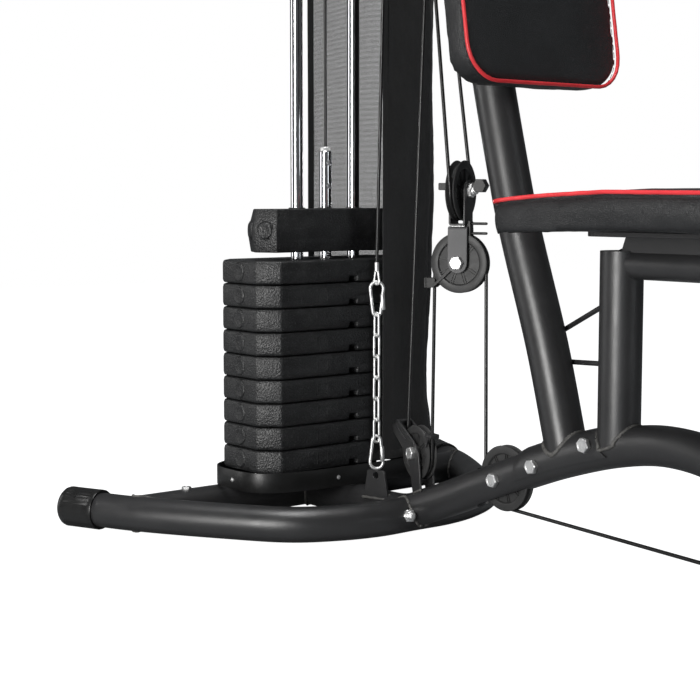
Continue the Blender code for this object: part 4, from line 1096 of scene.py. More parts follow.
E2, N2 = Vector((math.cos(P2_A), math.sin(P2_A), 0)), Vector((math.sin(P2_A), -math.cos(P2_A), 0))
E1, N1 = Vector((math.cos(P1_A), math.sin(P1_A), 0)), Vector((math.sin(P1_A), -math.cos(P1_A), 0))
pulley("wheel_base_rear", "base_pulley_rear", "base_rear_wheel", P1, N1, P1_R, "brass", 0.2)
pulley("wheel_base_front", "base_pulley_front", "base_front_wheel", P3, EY, 0.0450, "zinc")
pulley("wheel_base_low", "base_pulley_low", "base_low_wheel", P4, EY, 0.0450, "zinc")
pulley("wheel_float_lower", "float_pulley_lower", "float_lower_wheel", P2, N2, P2_R, "zinc", 0.45)
pulley("wheel_float_upper", "float_pulley_upper", "float_upper_wheel", P2U, E2, P2_R, "zinc")
pulley("wheel_top_rear", "top_pulley_rear", "top_rear_wheel", T1, EY, BIG_R, "zinc")
pulley("wheel_top_middle", "top_pulley_middle", "top_middle_wheel", T2, EY, BIG_R, "zinc")
pulley("wheel_top_front", "top_pulley_front", "top_front_wheel", T3, EY, BIG_R, "zinc")
pulley("wheel_guide_right", "guide_pulley_right", "guide_right_wheel", S(GUIDE_X, -GUIDE_Y, GUIDE_Z), EY, BIG_R, "zinc")
pulley("wheel_guide_left", "guide_pulley_left", "guide_left_wheel", S(GUIDE_X, GUIDE_Y, GUIDE_Z), EY, BIG_R, "zinc")
pulley("wheel_press", "press_pulley", "press_wheel", ARM_WHEEL, UPV, BIG_R, "zinc")


# ------------------------------------------------------------------ float block: two U straps back to back
def strap(name, node, centre, en, ee, web_z, end_z, up, look, half=0.0093, t=0.0030, w=0.0145, taper=0.0):
    """Legs at +-(half..half+t) along en, their faces spanned by ee and Z, joined by a bent web."""
    c0 = Vector((centre.x, centre.y, 0))
    sgn = -1 if up else 1            # legs hang down from the web, or stand up from it
    rb = 0.0045
    bm = bmesh.new()
    leg_z = web_z + sgn * rb
    tip = [(w * math.cos(a), end_z + sgn * w * 1.0 * math.sin(a)) for a in [math.pi * k / 16 for k in range(17)]]
    poly = [(-w, leg_z)] + [(w, leg_z)] + tip
    for s in (-1, 1):
        prism_bm(poly, c0, ee, UPV, en, s * half, s * (half + t), bm)
    # bend and web as one strip
    outer = [(-(half + t), leg_z)] + [(-(half + t - rb) - rb * math.cos(a), leg_z - sgn * rb * math.sin(a)) for a in [math.pi / 2 * k / 6 for k in range(7)]]
    outer += [(-x, z) for x, z in outer[::-1]]
    ri = rb - t
    inner = [(-half, leg_z)] + [(-(half - ri) - ri * math.cos(a), leg_z - sgn * ri * math.sin(a)) for a in [math.pi / 2 * k / 6 for k in range(7)]]
    inner += [(-x, z) for x, z in inner[::-1]]
    prism_bm(outer + inner[::-1], c0, en, UPV, ee, -w, w, bm)
    o = bevel(obj(name, bm, look, "float_block", weld=1e-5), 0.0006, 2, 50)
    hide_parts(node)
    return o


WEB = 0.4500
strap("strap_lower", "float_bracket_lower", P2, N2, E2, WEB - GAP, P2.z, True, "frame_grey")
strap("strap_upper", "float_bracket_upper", P2U, E2, N2, WEB + GAP, P2U.z, False, "frame_dark")
bolt("float_bolt_lower", P2 + N2 * 0.0124, N2, "float_block", turn=0.35, shank=0.014, head=0.0066, af=0.0172)
bolt("float_nut_lower", P2 - N2 * 0.0124, -N2, "float_block", nut=True)
bolt("float_nut_upper", P2U + E2 * 0.0124, E2, "float_block", nut=True, turn=0.1, washer=0.0, shank=0.014)
bolt("float_bolt_upper", P2U - E2 * 0.0124, -E2, "float_block")
# weld beads where the two webs meet, one along each side
b0 = Vector((P2.x, P2.y, WEB))
bead("weld_float_right", [b0 + N2 * 0.0123 + E2 * e for e in np.linspace(-0.0110, 0.0110, 6)], 0.0012, "float_block", look="zinc")
bead("weld_float_left", [b0 - N2 * 0.0123 + E2 * e for e in np.linspace(-0.0110, 0.0110, 6)], 0.0012, "float_block", look="weld")
# cable retainers: two prongs over the lower wheel, a clip under it, a hexagonal post on the upper strap
bm = bmesh.new()
for z in (0.4535, 0.4400):
    tube_bm([P2 * 0 + Vector((P2.x, P2.y, z)) + E2 * e for e in (0.0060, 0.0200, 0.0330, 0.0385, 0.0398)], 0.0019, 16, bm, radius=lambda t: 1.0 if t < 0.95 else 0.6)
prism_bm(rounded(0.0055, 0.0105, 0.002, 3, 0.0110, 0.4467), Vector((P2.x, P2.y, 0)), E2, UPV, N2, -0.0060, 0.0060, bm)
obj("retainer_prongs", bm, "nylon_dark", "float_block", weld=0)
bm = bmesh.new()
cz = 0.3705
for s in (-1, 1):
    prism_bm(rounded(0.0075, 0.0068, 0.002, 3, -0.0430, cz), Vector((P2.x, P2.y, 0)), E2, UPV, N2, s * 0.0032, s * 0.0072, bm)
prism_bm(rounded(0.0022, 0.0068, 0.001, 3, -0.0498, cz), Vector((P2.x, P2.y, 0)), E2, UPV, N2, -0.0072, 0.0072, bm)
for s in (-1, 1):
    prism_bm([(-0.0370, cz - 0.0062), (-0.0370, cz - 0.0018), (-0.0120, 0.3930), (-0.0100, 0.3880)], Vector((P2.x, P2.y, 0)), E2, UPV, N2, s * 0.0074, s * 0.0090, bm)
bevel(obj("retainer_clip", bm, "nylon_dark", "float_block", weld=0), 0.0006)
bm = prism_bm([(a, b) for a, b in hexagon(0.0090, 0.0)], P2U + E2 * 0.0290 - N2 * 0.0020 + UPV * 0.0070, (E2 * 0.7 - N2 * 0.0).normalized(), UPV, N2, -0.0060, 0.0080)
prism_bm([(-0.018, -0.0045), (0.0, -0.0045), (0.0, 0.0045), (-0.018, 0.0045)], P2U + E2 * 0.0290 - N2 * 0.0020 + UPV * 0.0070, E2, UPV, N2, -0.0040, 0.0040, bm)
bevel(obj("retainer_hex", bm, "nylon_dark", "float_block", weld=0), 0.0008)
bm = prism_bm(rounded(0.0085, 0.0050, 0.0015, 3), P2U - E2 * 0.0215 + UPV * 0.006, E2, UPV, N2, -0.010, 0.010)
bevel(obj("retainer_block", bm, "nylon_dark", "float_block", weld=0), 0.0006)

# bracket of the rear base pulley
crank = [(0.2270, 0.0460), (0.2480, 0.0500), (0.2425, 0.100), (0.2385, 0.122), (0.2320, 0.1320), (0.2240, 0.1385), (0.1790, 0.1625), (0.1735, 0.1640), (0.1640, 0.1590), (0.1605, 0.1535),
         (0.1640, 0.1455), (0.1700, 0.1405), (0.2040, 0.1160), (0.2100, 0.1080), (0.2130, 0.1000)]
bm = bmesh.new()
p1c = Vector((P1.x, 0, 0))
for s in (-1, 1):
    prism_bm([(a - 0.2210, b) for a, b in crank], p1c, E1, UPV, N1, s * 0.0093, s * 0.0125, bm)
o = bevel(obj("crank_bracket", bm, "frame_dark", "root", weld=0), 0.0007)
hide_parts("rear_pulley_bracket")
bm = prism_bm([(-0.0605, 0.1535), (-0.0570, 0.1590), (-0.0475, 0.1640), (-0.0440, 0.1620), (-0.0535, 0.1570), (-0.0572, 0.1520)], p1c, E1, UPV, N1, -0.0125, 0.0125)
bevel(obj("crank_web", bm, "frame_dark", "root"), 0.0005)
bm = bmesh.new()
for s in (-1, 1):
    prism_bm([(-0.0500, 0.1530), (-0.0480, 0.1558), (-0.0180, 0.1388), (-0.0200, 0.1360)], p1c, E1, UPV, N1, s * 0.0124, s * 0.0133, bm)
bevel(obj("crank_rib", bm, "frame_dark", "root", weld=0), 0.0003)
bm = prism_bm(rounded(0.0080, 0.0030, 0.0008, 3, 0.0360, 0.1500), p1c, E1, UPV, N1, -0.0075, 0.0075)
prism_bm([(0.0300, 0.1340), (0.0345, 0.1340), (0.0400, 0.1480), (0.0340, 0.1480)], p1c, E1, UPV, N1, 0.0076, 0.0093, bm)
bevel(obj("crank_lip", bm, "frame_dark", "root", weld=0), 0.0005)
bolt("rear_bolt", P1 + N1 * 0.0126, N1, "root", turn=0.5, shank=0.014, af=0.0165, head=0.0062)
bolt("rear_nut", P1 - N1 * 0.0126, -N1, "root", nut=True)
bead("weld_crank", [p1c + E1 * a + N1 * 0.0125 + UPV * (MZ(0.2210 + a) + 0.0225) for a in np.linspace(0.006, 0.027, 6)], 0.0016)
# nut with its thread end on the right half of the stabilizer
bolt("stabilizer_joint_nut", S(0.2080 + 0.0254 * 0.55, -0.0300 - 0.0254 * 0.0, TUBE_Z + 0.0040) + Vector((0.0102, 0, 0)), (0.94, -0.30, 0.16), "root", nut=True, turn=0.2, shank=0.010, thread=0.0062)


# ------------------------------------------------------------------ chain, snap hooks, anchor
CAMR = Vector((0.6268, 0.7792, 0.0))          # the flat of the hooks faces the right front
CAMN = Vector((0.7792, -0.6268, 0.0))
cc = S(CX, CY, 0)


def loop(name, pts2, wire, e, body="root", look="zinc", n=96, sides=16, tilt=0.0):
    """Closed wire loop from an outline (across, height) in the plane of e and Z."""
    q = [Vector((a, b, 0)) for a, b in pts2]
    q.append(q[0])
    d = [0.0]
    for a, b in zip(q, q[1:]):
        d.append(d[-1] + (b - a).length)
    t = np.linspace(0, d[-1], n, endpoint=False)
    xs, zs = np.interp(t, d, [v.x for v in q]), np.interp(t, d, [v.y for v in q])
    bm = tube_bm([cc + e * float(a) + UPV * float(b) for a, b in zip(xs, zs)], wire / 2, sides, closed=True)
    return obj(name, bm, look, body, sharp=80)


def pear(z_top, z_low, r_top, r_low):
    """Outline of a snap hook's centreline: round ends of two sizes joined by straight sides."""
    c1, c2 = z_top - r_top, z_low + r_low
    b = math.degrees(math.asin((r_low - r_top) / (c1 - c2)))
    return arc(0, c1, r_top, b, 180 - b, 20) + arc(0, c2, r_low, 180 - b, 360 + b, 28)


W5, W4 = 0.0050, 0.0040
def pear_up(z_top, z_low, r_top, r_low):
    return [(-a, z_top + z_low - b) for a, b in pear(z_top, z_low, r_low, r_top)]


loop("hook_upper", pear_up(0.3660, 0.3165, 0.0096, 0.0058), W5, CAMR)
loop("hook_lower", pear(0.1378, 0.0888, 0.0058, 0.0096), W5, CAMR)
# gate sleeve and nose of each hook
for nm, z0, z1, x in (("upper", 0.3250, 0.3480, 0.0094), ("lower", 0.0990, 0.1220, 0.0090)):
    bm = spun([(0, 0), (0.0029, 0), (0.0033, 0.0006), (0.0033, (z1 - z0) - 0.0006), (0.0029, z1 - z0), (0, z1 - z0)], cc + CAMR * x + UPV * z0, (UPV + CAMR * -0.05), 20)
    obj("hook_gate_" + nm, bm, "zinc", "root")
LINK = 0.0314
zt = 0.3165 + W5 / 2 * 0.0 + 0.0022
for i in range(6):
    zi = zt - LINK * i + W4 / 2 - 0.0002
    zb = zi - LINK - W4 + 0.0004
    r = 0.0046
    out = arc(0, zi - r, r, 0, 180, 14) + arc(0, zb + r, r, 180, 360, 14)
    e = Matrix.Rotation(math.radians(36 if i % 2 else -50) + 0.10 * noise.noise(Vector((i * 3.1, 0.4, 0.2))), 3, 'Z') @ CAMR
    loop("link_%d" % (i + 1), out, W4, e, n=64, sides=14)
# swaged end of the cable: flattened eye on the hook, and its barrel
FT, FB = 0.3945, 0.3610
bm = spun([(0, 0), (0.0022, 0), (0.0034, 0.0012), (0.0034, 0.0125), (0.0030, 0.0140), (0.0027, 0.0142), (0, 0.0142)], cc + UPV * 0.3805, UPV, 24)
obj("swage_barrel", bm, "zinc", "root")
out = arc(0, 0.3670, 0.0048, 150, 390, 20) + [(0.0026, 0.3790), (0.0026, 0.3815), (-0.0026, 0.3815), (-0.0026, 0.3790)]
loop("swage_eye", out[::-1], 0.0034, (CAMR * 0.82 + CAMN * 0.57).normalized(), n=60, sides=12)
# anchor plate, its hole, its weld
poly = [(-0.0235, 0.0440), (0.0235, 0.0440), (0.0165, 0.0800)] + arc(0.0120, 0.0815, 0.0050, 0, 90, 5)[1:] + arc(-0.0120, 0.0815, 0.0050, 90, 180, 5)[:-1] + [(-0.0165, 0.0800)]
ang = math.radians(12)
AE = Vector((math.cos(ang), math.sin(ang), 0))
AN = Vector((math.sin(ang), -math.cos(ang), 0))
o = obj("anchor_plate", prism_bm(poly, cc, AE, UPV, AN, -0.0021, 0.0021), "frame_dark")
cut(o, cutter(spun([(0, -0.01), (0.0050, -0.01), (0.0050, 0.01), (0, 0.01)], cc + UPV * 0.0790, AN, 32)))
bevel(o, 0.0006, 2, 40)
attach(o, "root")
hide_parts("chain_anchor")
for s in (-1, 1):
    bead("weld_anchor_%d" % (s + 2), [cc + AE * a + AN * (0.0030 * s) + UPV * (TUBE_Z + math.sqrt(max(1e-9, TUBE_R ** 2 - (CY + 0.003 * -s) ** 2)) + 0.0006) for a in np.linspace(-0.0240, 0.0240, 8)], 0.0019)


# ------------------------------------------------------------------ cables, in pieces that follow their wheels
CR = 0.0025


def wrap(c, e, up, r, a0, a1, n=24):
    return [c + (e * math.cos(math.radians(a0 + (a1 - a0) * k / n)) + up * math.sin(math.radians(a0 + (a1 - a0) * k / n))) * r for k in range(n + 1)]


def cable(name, pts, body=None, to=None):
    if len(pts) == 2:
        a, b = Vector(pts[0]), Vector(pts[1])
        n = max(8, int((b - a).length / 0.02))
        pts = [a.lerp(b, k / n) for k in range(n + 1)]
    o = obj(name, tube_bm(pts, CR, 14), "cable", body, sharp=60)
    if to:
        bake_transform(o)
    return o


rr_ = lambda r: r - 0.0035
GR, GL = S(GUIDE_X, -GUIDE_Y, GUIDE_Z), S(GUIDE_X, GUIDE_Y, GUIDE_Z)
w_gr = wrap(GR, EX, UPV, rr_(BIG_R), 180, 90)
w_pw = wrap(ARM_WHEEL, EX, EY, rr_(BIG_R), -90, 90, 40)
w_gl = wrap(GL, EX, UPV, rr_(BIG_R), 90, 180)
w_p1 = wrap(P1, E1, UPV, rr_(P1_R), 180, 360, 36)
w_p2 = wrap(P2, E2, UPV, rr_(P2_R), 180, 0, 36)
w_p3 = wrap(P3, EX, UPV, rr_(0.045), 180, 268, 24)
w_p4 = wrap(P4, EX, UPV, rr_(0.045), 266, 360, 24)
lever_end = S(0.9625, 0.0, 0.1985)
c1 = cable("cable_low_1", [S(CX, CY, 0.3940), w_gr[0]], "root")
cable("cable_low_2", w_gr, "root")
cable("cable_low_3", [w_gr[-1], w_pw[0]], None, ("root", "press_arm"))
cable("cable_low_4", w_pw, "press_arm")
cable("cable_low_5", [w_pw[-1], w_gl[0]], None, ("press_arm", "root"))
cable("cable_low_6", w_gl, "root")
cable("cable_low_7", [w_gl[-1], w_p1[0]], "root")
cable("cable_low_8", w_p1, "root")
cable("cable_low_9", [w_p1[-1], w_p2[0]], None, ("root", "float_block"))
cable("cable_low_10", w_p2, "float_block")
cable("cable_low_11", [w_p2[-1], w_p3[0]], None, ("float_block", "root"))
cable("cable_low_12", w_p3, "root")
cable("cable_low_13", [w_p3[-1], w_p4[0]], "root")
cable("cable_low_14", w_p4, "root")
cable("cable_low_15", [w_p4[-1], lever_end], None, ("root", "leg_lever"))
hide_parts("lower_cable", "tension_chain")
w_t1 = wrap(T1, EX, UPV, rr_(BIG_R), 180, 4, 36)
w_pu = wrap(P2U, -N2, UPV, rr_(P2_R), 0, -180, 36)
w_t2 = wrap(T2, EX, UPV, rr_(BIG_R), 176, 90, 18)
w_t3 = wrap(T3, EX, UPV, rr_(BIG_R), 90, 0, 18)
c2 = cable("cable_lift_1", [S(0, 0, SEL_TOP + 0.006), w_t1[0]], None, ("weight_carriage", "root"))
cable("cable_lift_2", w_t1, "root")
cable("cable_lift_3", [w_t1[-1], w_pu[0]], None, ("root", "float_block"))
cable("cable_lift_4", w_pu, "float_block")
cable("cable_lift_5", [w_pu[-1], w_t2[0]], None, ("float_block", "root"))
cable("cable_lift_6", w_t2, "root")
cable("cable_lift_7", [w_t2[-1], w_t3[0]], "root")
cable("cable_lift_8", w_t3, "root")
cable("cable_lift_9", [w_t3[-1], LAT_TOP], None, ("root", "lat_hook"))
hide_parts("lift_cable")

# ------------------------------------------------------------------ leg lever
LR = (1.0180, 0.1350)
bm = tube_bm([S(1.0, 0, z) for z in np.linspace(0.118, 0.395, 14)], 0.0190, 40)
o = obj("lever_tube", bm, "frame", "leg_lever")
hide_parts("leg_lever")
obj("lever_sleeve", revolve_bm([(0.0080, -0.0203), (0.0196, -0.0203), (0.0205, -0.0194), (0.0205, 0.0194), (0.0196, 0.0203), (0.0080, 0.0203)], LEVER, EY, 40), "frame", "leg_lever")
obj("lever_plug", spun([(0, 0), (0.0186, 0), (0.0192, -0.0012), (0.0186, -0.0034), (0.0100, -0.0046), (0, -0.0048)], S(1.0, 0, 0.1178), UPV, 40), "cap", "leg_lever")
obj("ankle_tube", tube_bm([S(LR[0], y, LR[1]) for y in np.linspace(-0.205, 0.205, 16)], 0.0125, 28), "frame", "leg_lever")
bm = prism_bm([(0.9630 + X0, 0.2060), (0.9680 + X0, 0.1985), (0.9760 + X0, 0.1955), (0.9850 + X0, 0.1955), (0.9850 + X0, 0.2300), (0.9700 + X0, 0.2240)], (0, 0, 0), EX, UPV, EY, -0.003, 0.003)
bevel(obj("lever_eye", bm, "frame_dark", "leg_lever"), 0.0008)
bead("weld_lever_1", [S(1.0 + 0.0192 * math.cos(a), 0.0192 * math.sin(a), 0.3772 + 0.0016 * math.cos(2 * a)) for a in np.linspace(0, 2 * math.pi, 40, endpoint=False)], 0.0016, "leg_lever", closed=True)


def roller(name, node, body, x, z, y0, y1):
    s = 1 if y1 > y0 else -1
    L = abs(y1 - y0)
    prof = [(0.0128, 0.0), (0.0340, 0.0), (0.0395, 0.0012), (0.0432, 0.0046), (0.0448, 0.0100), (0.0451, 0.0180)]
    prof += [(0.0449 - 0.0006 * math.sin(math.pi * t), 0.018 + (L - 0.036) * t) for t in (0.15, 0.3, 0.5, 0.7, 0.85)]
    prof += [(r, L - h) for r, h in [(0.0451, 0.0180), (0.0448, 0.0100), (0.0432, 0.0046), (0.0395, 0.0012), (0.0340, 0.0), (0.0128, 0.0)]]
    bm = revolve_bm(prof, S(x, y0, z), (0, s, 0), 56)
    for v in bm.verts:
        d = Vector((v.co.x - x - X0, 0, v.co.z - z))
        if d.length > 0.03:
            v.co += d.normalized() * 0.0007 * noise.noise(v.co * 40.0)
    o = obj(name, bm, "foam", body, sharp=50)
    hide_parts(node)
    ye = y1 + s * 0.0004
    bm = spun([(0, 0.012), (0.0120, 0.012), (0.0126, 0.0), (0.0240, -0.0002), (0.0246, 0.0012), (0.0225, 0.0032), (0.0120, 0.0052), (0, 0.0058)], S(x, ye, z), (0, s, 0), 40)
    obj(name + "_plug", bm, "cap", body)
    bm = revolve_bm([(0.0128, 0.0), (0.0215, 0.0), (0.0215, 0.0030), (0.0200, 0.0040), (0.0128, 0.0040)], S(x, y0 - s * 0.0046, z), (0, s, 0), 40)
    obj(name + "_collar", bm, "cap", body)


for side, s in (("right", -1), ("left", 1)):
    roller("knee_foam_" + side, "knee_roller_" + side, "root", 0.9560, 0.4560, s * 0.040, s * 0.200)
    roller("ankle_foam_" + side, "ankle_roller_" + side, "leg_lever", LR[0], LR[1], s * 0.040, s * 0.200)

# ------------------------------------------------------------------ press arm
half = [(0.4200, 0.0, 1.6000), (0.4200, 0.140, 1.6000), (0.4240, 0.2550, 1.5900), (0.4450, 0.3050, 1.5300), (0.4900, 0.3150, 1.3800), (0.5500, 0.3150, 1.2000),
        (0.6050, 0.3120, 1.0500), (0.6450, 0.2900, 0.9850), (0.6600, 0.2400, 0.9700), (0.6650, 0.1550, 0.9700)]
arm_pts = smooth_path([S(x, -y, z) for x, y, z in half[:0:-1]] + [S(*p) for p in half], 0.012)
o = obj("arm_frame", tube_bm(arm_pts, 0.0160, 36), "frame", "press_arm")
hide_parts("press_arm")
obj("arm_drop", tube_bm([PRESS.lerp(S(0.4210, 0, 1.6000), k / 12) for k in range(13)], 0.0160, 36), "frame", "press_arm")
obj("arm_sleeve", revolve_bm([(0.0080, -0.0178), (0.0200, -0.0178), (0.0210, -0.0168), (0.0210, 0.0168), (0.0200, 0.0178), (0.0080, 0.0178)], PRESS, EY, 40), "frame", "press_arm")
tz = ARM_WHEEL.z
bm = prism_bm([(0.4100 + X0, -0.016), (0.5000 + X0, -0.016)] + [(a + X0, b) for a, b in arc(0.5000, 0, 0.016, -78, 78, 10)] + [(0.5000 + X0, 0.016), (0.4100 + X0, 0.016)], (0, 0, 0), EX, EY, UPV, tz + 0.0086, tz + 0.0136)
bevel(obj("arm_tongue", bm, "frame_dark", "press_arm"), 0.0008)
bevel(obj("arm_strut", box_bm((0.4120 + X0, -0.0125, tz + 0.0137), (0.4280 + X0, 0.0125, 1.5990)), "frame_dark", "press_arm"), 0.0015)
bolt("arm_wheel_bolt", ARM_WHEEL + UPV * 0.0138, UPV, "press_arm", shank=0.022)
bolt("arm_wheel_nut", ARM_WHEEL - UPV * 0.0084, -UPV, "press_arm", nut=True)
for side, s in (("right", -1), ("left", 1)):
    ends = [p for p in arm_pts if p.y * s > 0]
    ends = ends[-1:-14:-1] if s > 0 else ends[:13]
    ends = ends[:12]
    bm = tube_bm(ends, 0.0192, 40, radius=lambda t: 0.90 + 0.10 * min(1.0, t * 24, (1 - t) * 24) - (0.035 if int(t * 44) % 2 else 0.0))
    obj("arm_grip_" + side, bm, "grip", "press_arm", sharp=50)
    d = (ends[0] - ends[1]).normalized()
    bm = spun([(0, -0.004), (0.0180, -0.004), (0.0196, -0.0016), (0.0192, 0.0010), (0.0150, 0.0028), (0, 0.0034)], ends[0], d, 40)
    obj("arm_grip_end_" + side, bm, "grip", "press_arm")

# ------------------------------------------------------------------ overhead bar and its hook
bar = [(0, 0, 0), (0, 0.10, 0.0), (0, 0.26, 0.0), (0, 0.34, -0.018), (0, 0.46, -0.075)]
LB = LAT_PIVOT - UPV * 0.040
bar_pts = smooth_path([LB + Vector((x, -y, z)) for x, y, z in bar[:0:-1]] + [LB + Vector(b) for b in bar], 0.014)
o = obj("bar_tube", tube_bm(bar_pts, 0.0140, 36), "chrome", "lat_bar")
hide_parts("lat_bar")
for side, sel in (("right", bar_pts[:11]), ("left", bar_pts[:-12:-1])):
    bm = tube_bm(sel, 0.0168, 40, radius=lambda t: 0.92 + 0.08 * min(1.0, t * 24, (1 - t) * 24) - (0.03 if int(t * 40) % 2 else 0.0))
    obj("bar_grip_" + side, bm, "grip", "lat_bar", sharp=50)
    d = (sel[0] - sel[1]).normalized()
    obj("bar_grip_end_" + side, spun([(0, -0.004), (0.0160, -0.004), (0.0172, -0.0014), (0.0168, 0.0010), (0.0130, 0.0026), (0, 0.0030)], sel[0], d, 40), "grip", "lat_bar")
# eye plate on the bar
bm = prism_bm([(-0.0150, 0.0120), (0.0150, 0.0120), (0.0095, 0.0330)] + arc(0, 0.0340, 0.0085, 20, 160, 10) + [(-0.0095, 0.0330)], LB, EY, UPV, EX, -0.0025, 0.0025)
o = obj("bar_eye", bm, "chrome")
cut(o, cutter(spun([(0, -0.01), (0.0045, -0.01), (0.0045, 0.01), (0, 0.01)], LB + UPV * 0.0335, EX, 32)))
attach(o, "lat_bar")
cc = Vector((LAT_TOP.x, 0, 0))
h = loop("bar_hook", pear(LAT_TOP.z - 0.0120, LAT_PIVOT.z - 0.0095, 0.0072, 0.0085), 0.0048, EX, "lat_hook")
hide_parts("lat_hook")
bm = spun([(0, 0), (0.0030, 0), (0.0042, 0.0014), (0.0042, 0.0150), (0.0030, 0.0166), (0, 0.0168)], LAT_TOP - UPV * 0.0120, UPV, 24)
obj("bar_swage", bm, "zinc", "lat_hook")
bm = spun([(0, 0), (0.0028, 0), (0.0033, 0.0006), (0.0033, 0.0200), (0.0028, 0.0206), (0, 0.0206)], Vector((LAT_TOP.x + 0.0086, 0, LAT_PIVOT.z + 0.0040)), UPV, 20)
obj("bar_hook_gate", bm, "zinc", "lat_hook")


# ------------------------------------------------------------------ pads: boxed forms with piping, seams and a board
def simulate(o, steps=20, pressure=4.0, voxel=0.006, cap=0.008, pin=None):
    """Swells a closed padded form with cloth under pressure, caps the movement, and leaves a plain mesh."""
    m = o.modifiers.new("remesh", 'REMESH')
    m.mode, m.voxel_size = 'VOXEL', voxel
    baked(o)
    start = np.array([v.co[:] for v in o.data.vertices])
    g = o.vertex_groups.new(name="held")
    for i, p in enumerate(start):
        w = pin(Vector(p))
        if w > 0:
            g.add([i], w, 'REPLACE')
    c = o.modifiers.new("cloth", 'CLOTH')
    st = c.settings
    st.use_pressure, st.uniform_pressure_force = True, pressure
    st.vertex_group_mass = "held"
    st.pin_stiffness = 1.0
    st.quality = 5
    st.tension_stiffness = st.compression_stiffness = 40
    st.shear_stiffness, st.bending_stiffness = 20, 2.0
    st.effector_weights.gravity = 0
    c.collision_settings.use_self_collision = False
    c.point_cache.frame_start, c.point_cache.frame_end = 1, steps
    for f in range(1, steps + 1):
        SC.frame_set(f)
    dg = bpy.context.evaluated_depsgraph_get()
    new = np.array([v.co[:] for v in o.evaluated_get(dg).data.vertices])
    SC.frame_set(1)
    o.modifiers.clear()
    d = new - start
    L = np.linalg.norm(d, axis=1)
    f = np.where(L > 1e-9, np.minimum(L, cap * np.tanh(L / cap)) / np.maximum(L, 1e-9), 0.0)
    final = start + d * f[:, None]
    for v, p in zip(o.data.vertices, final):
        v.co = p
    m = o.modifiers.new("sub", 'SUBSURF')
    m.levels = m.render_levels = 1
    baked(o)
    for p in o.data.polygons:
        p.use_smooth = True
    return o


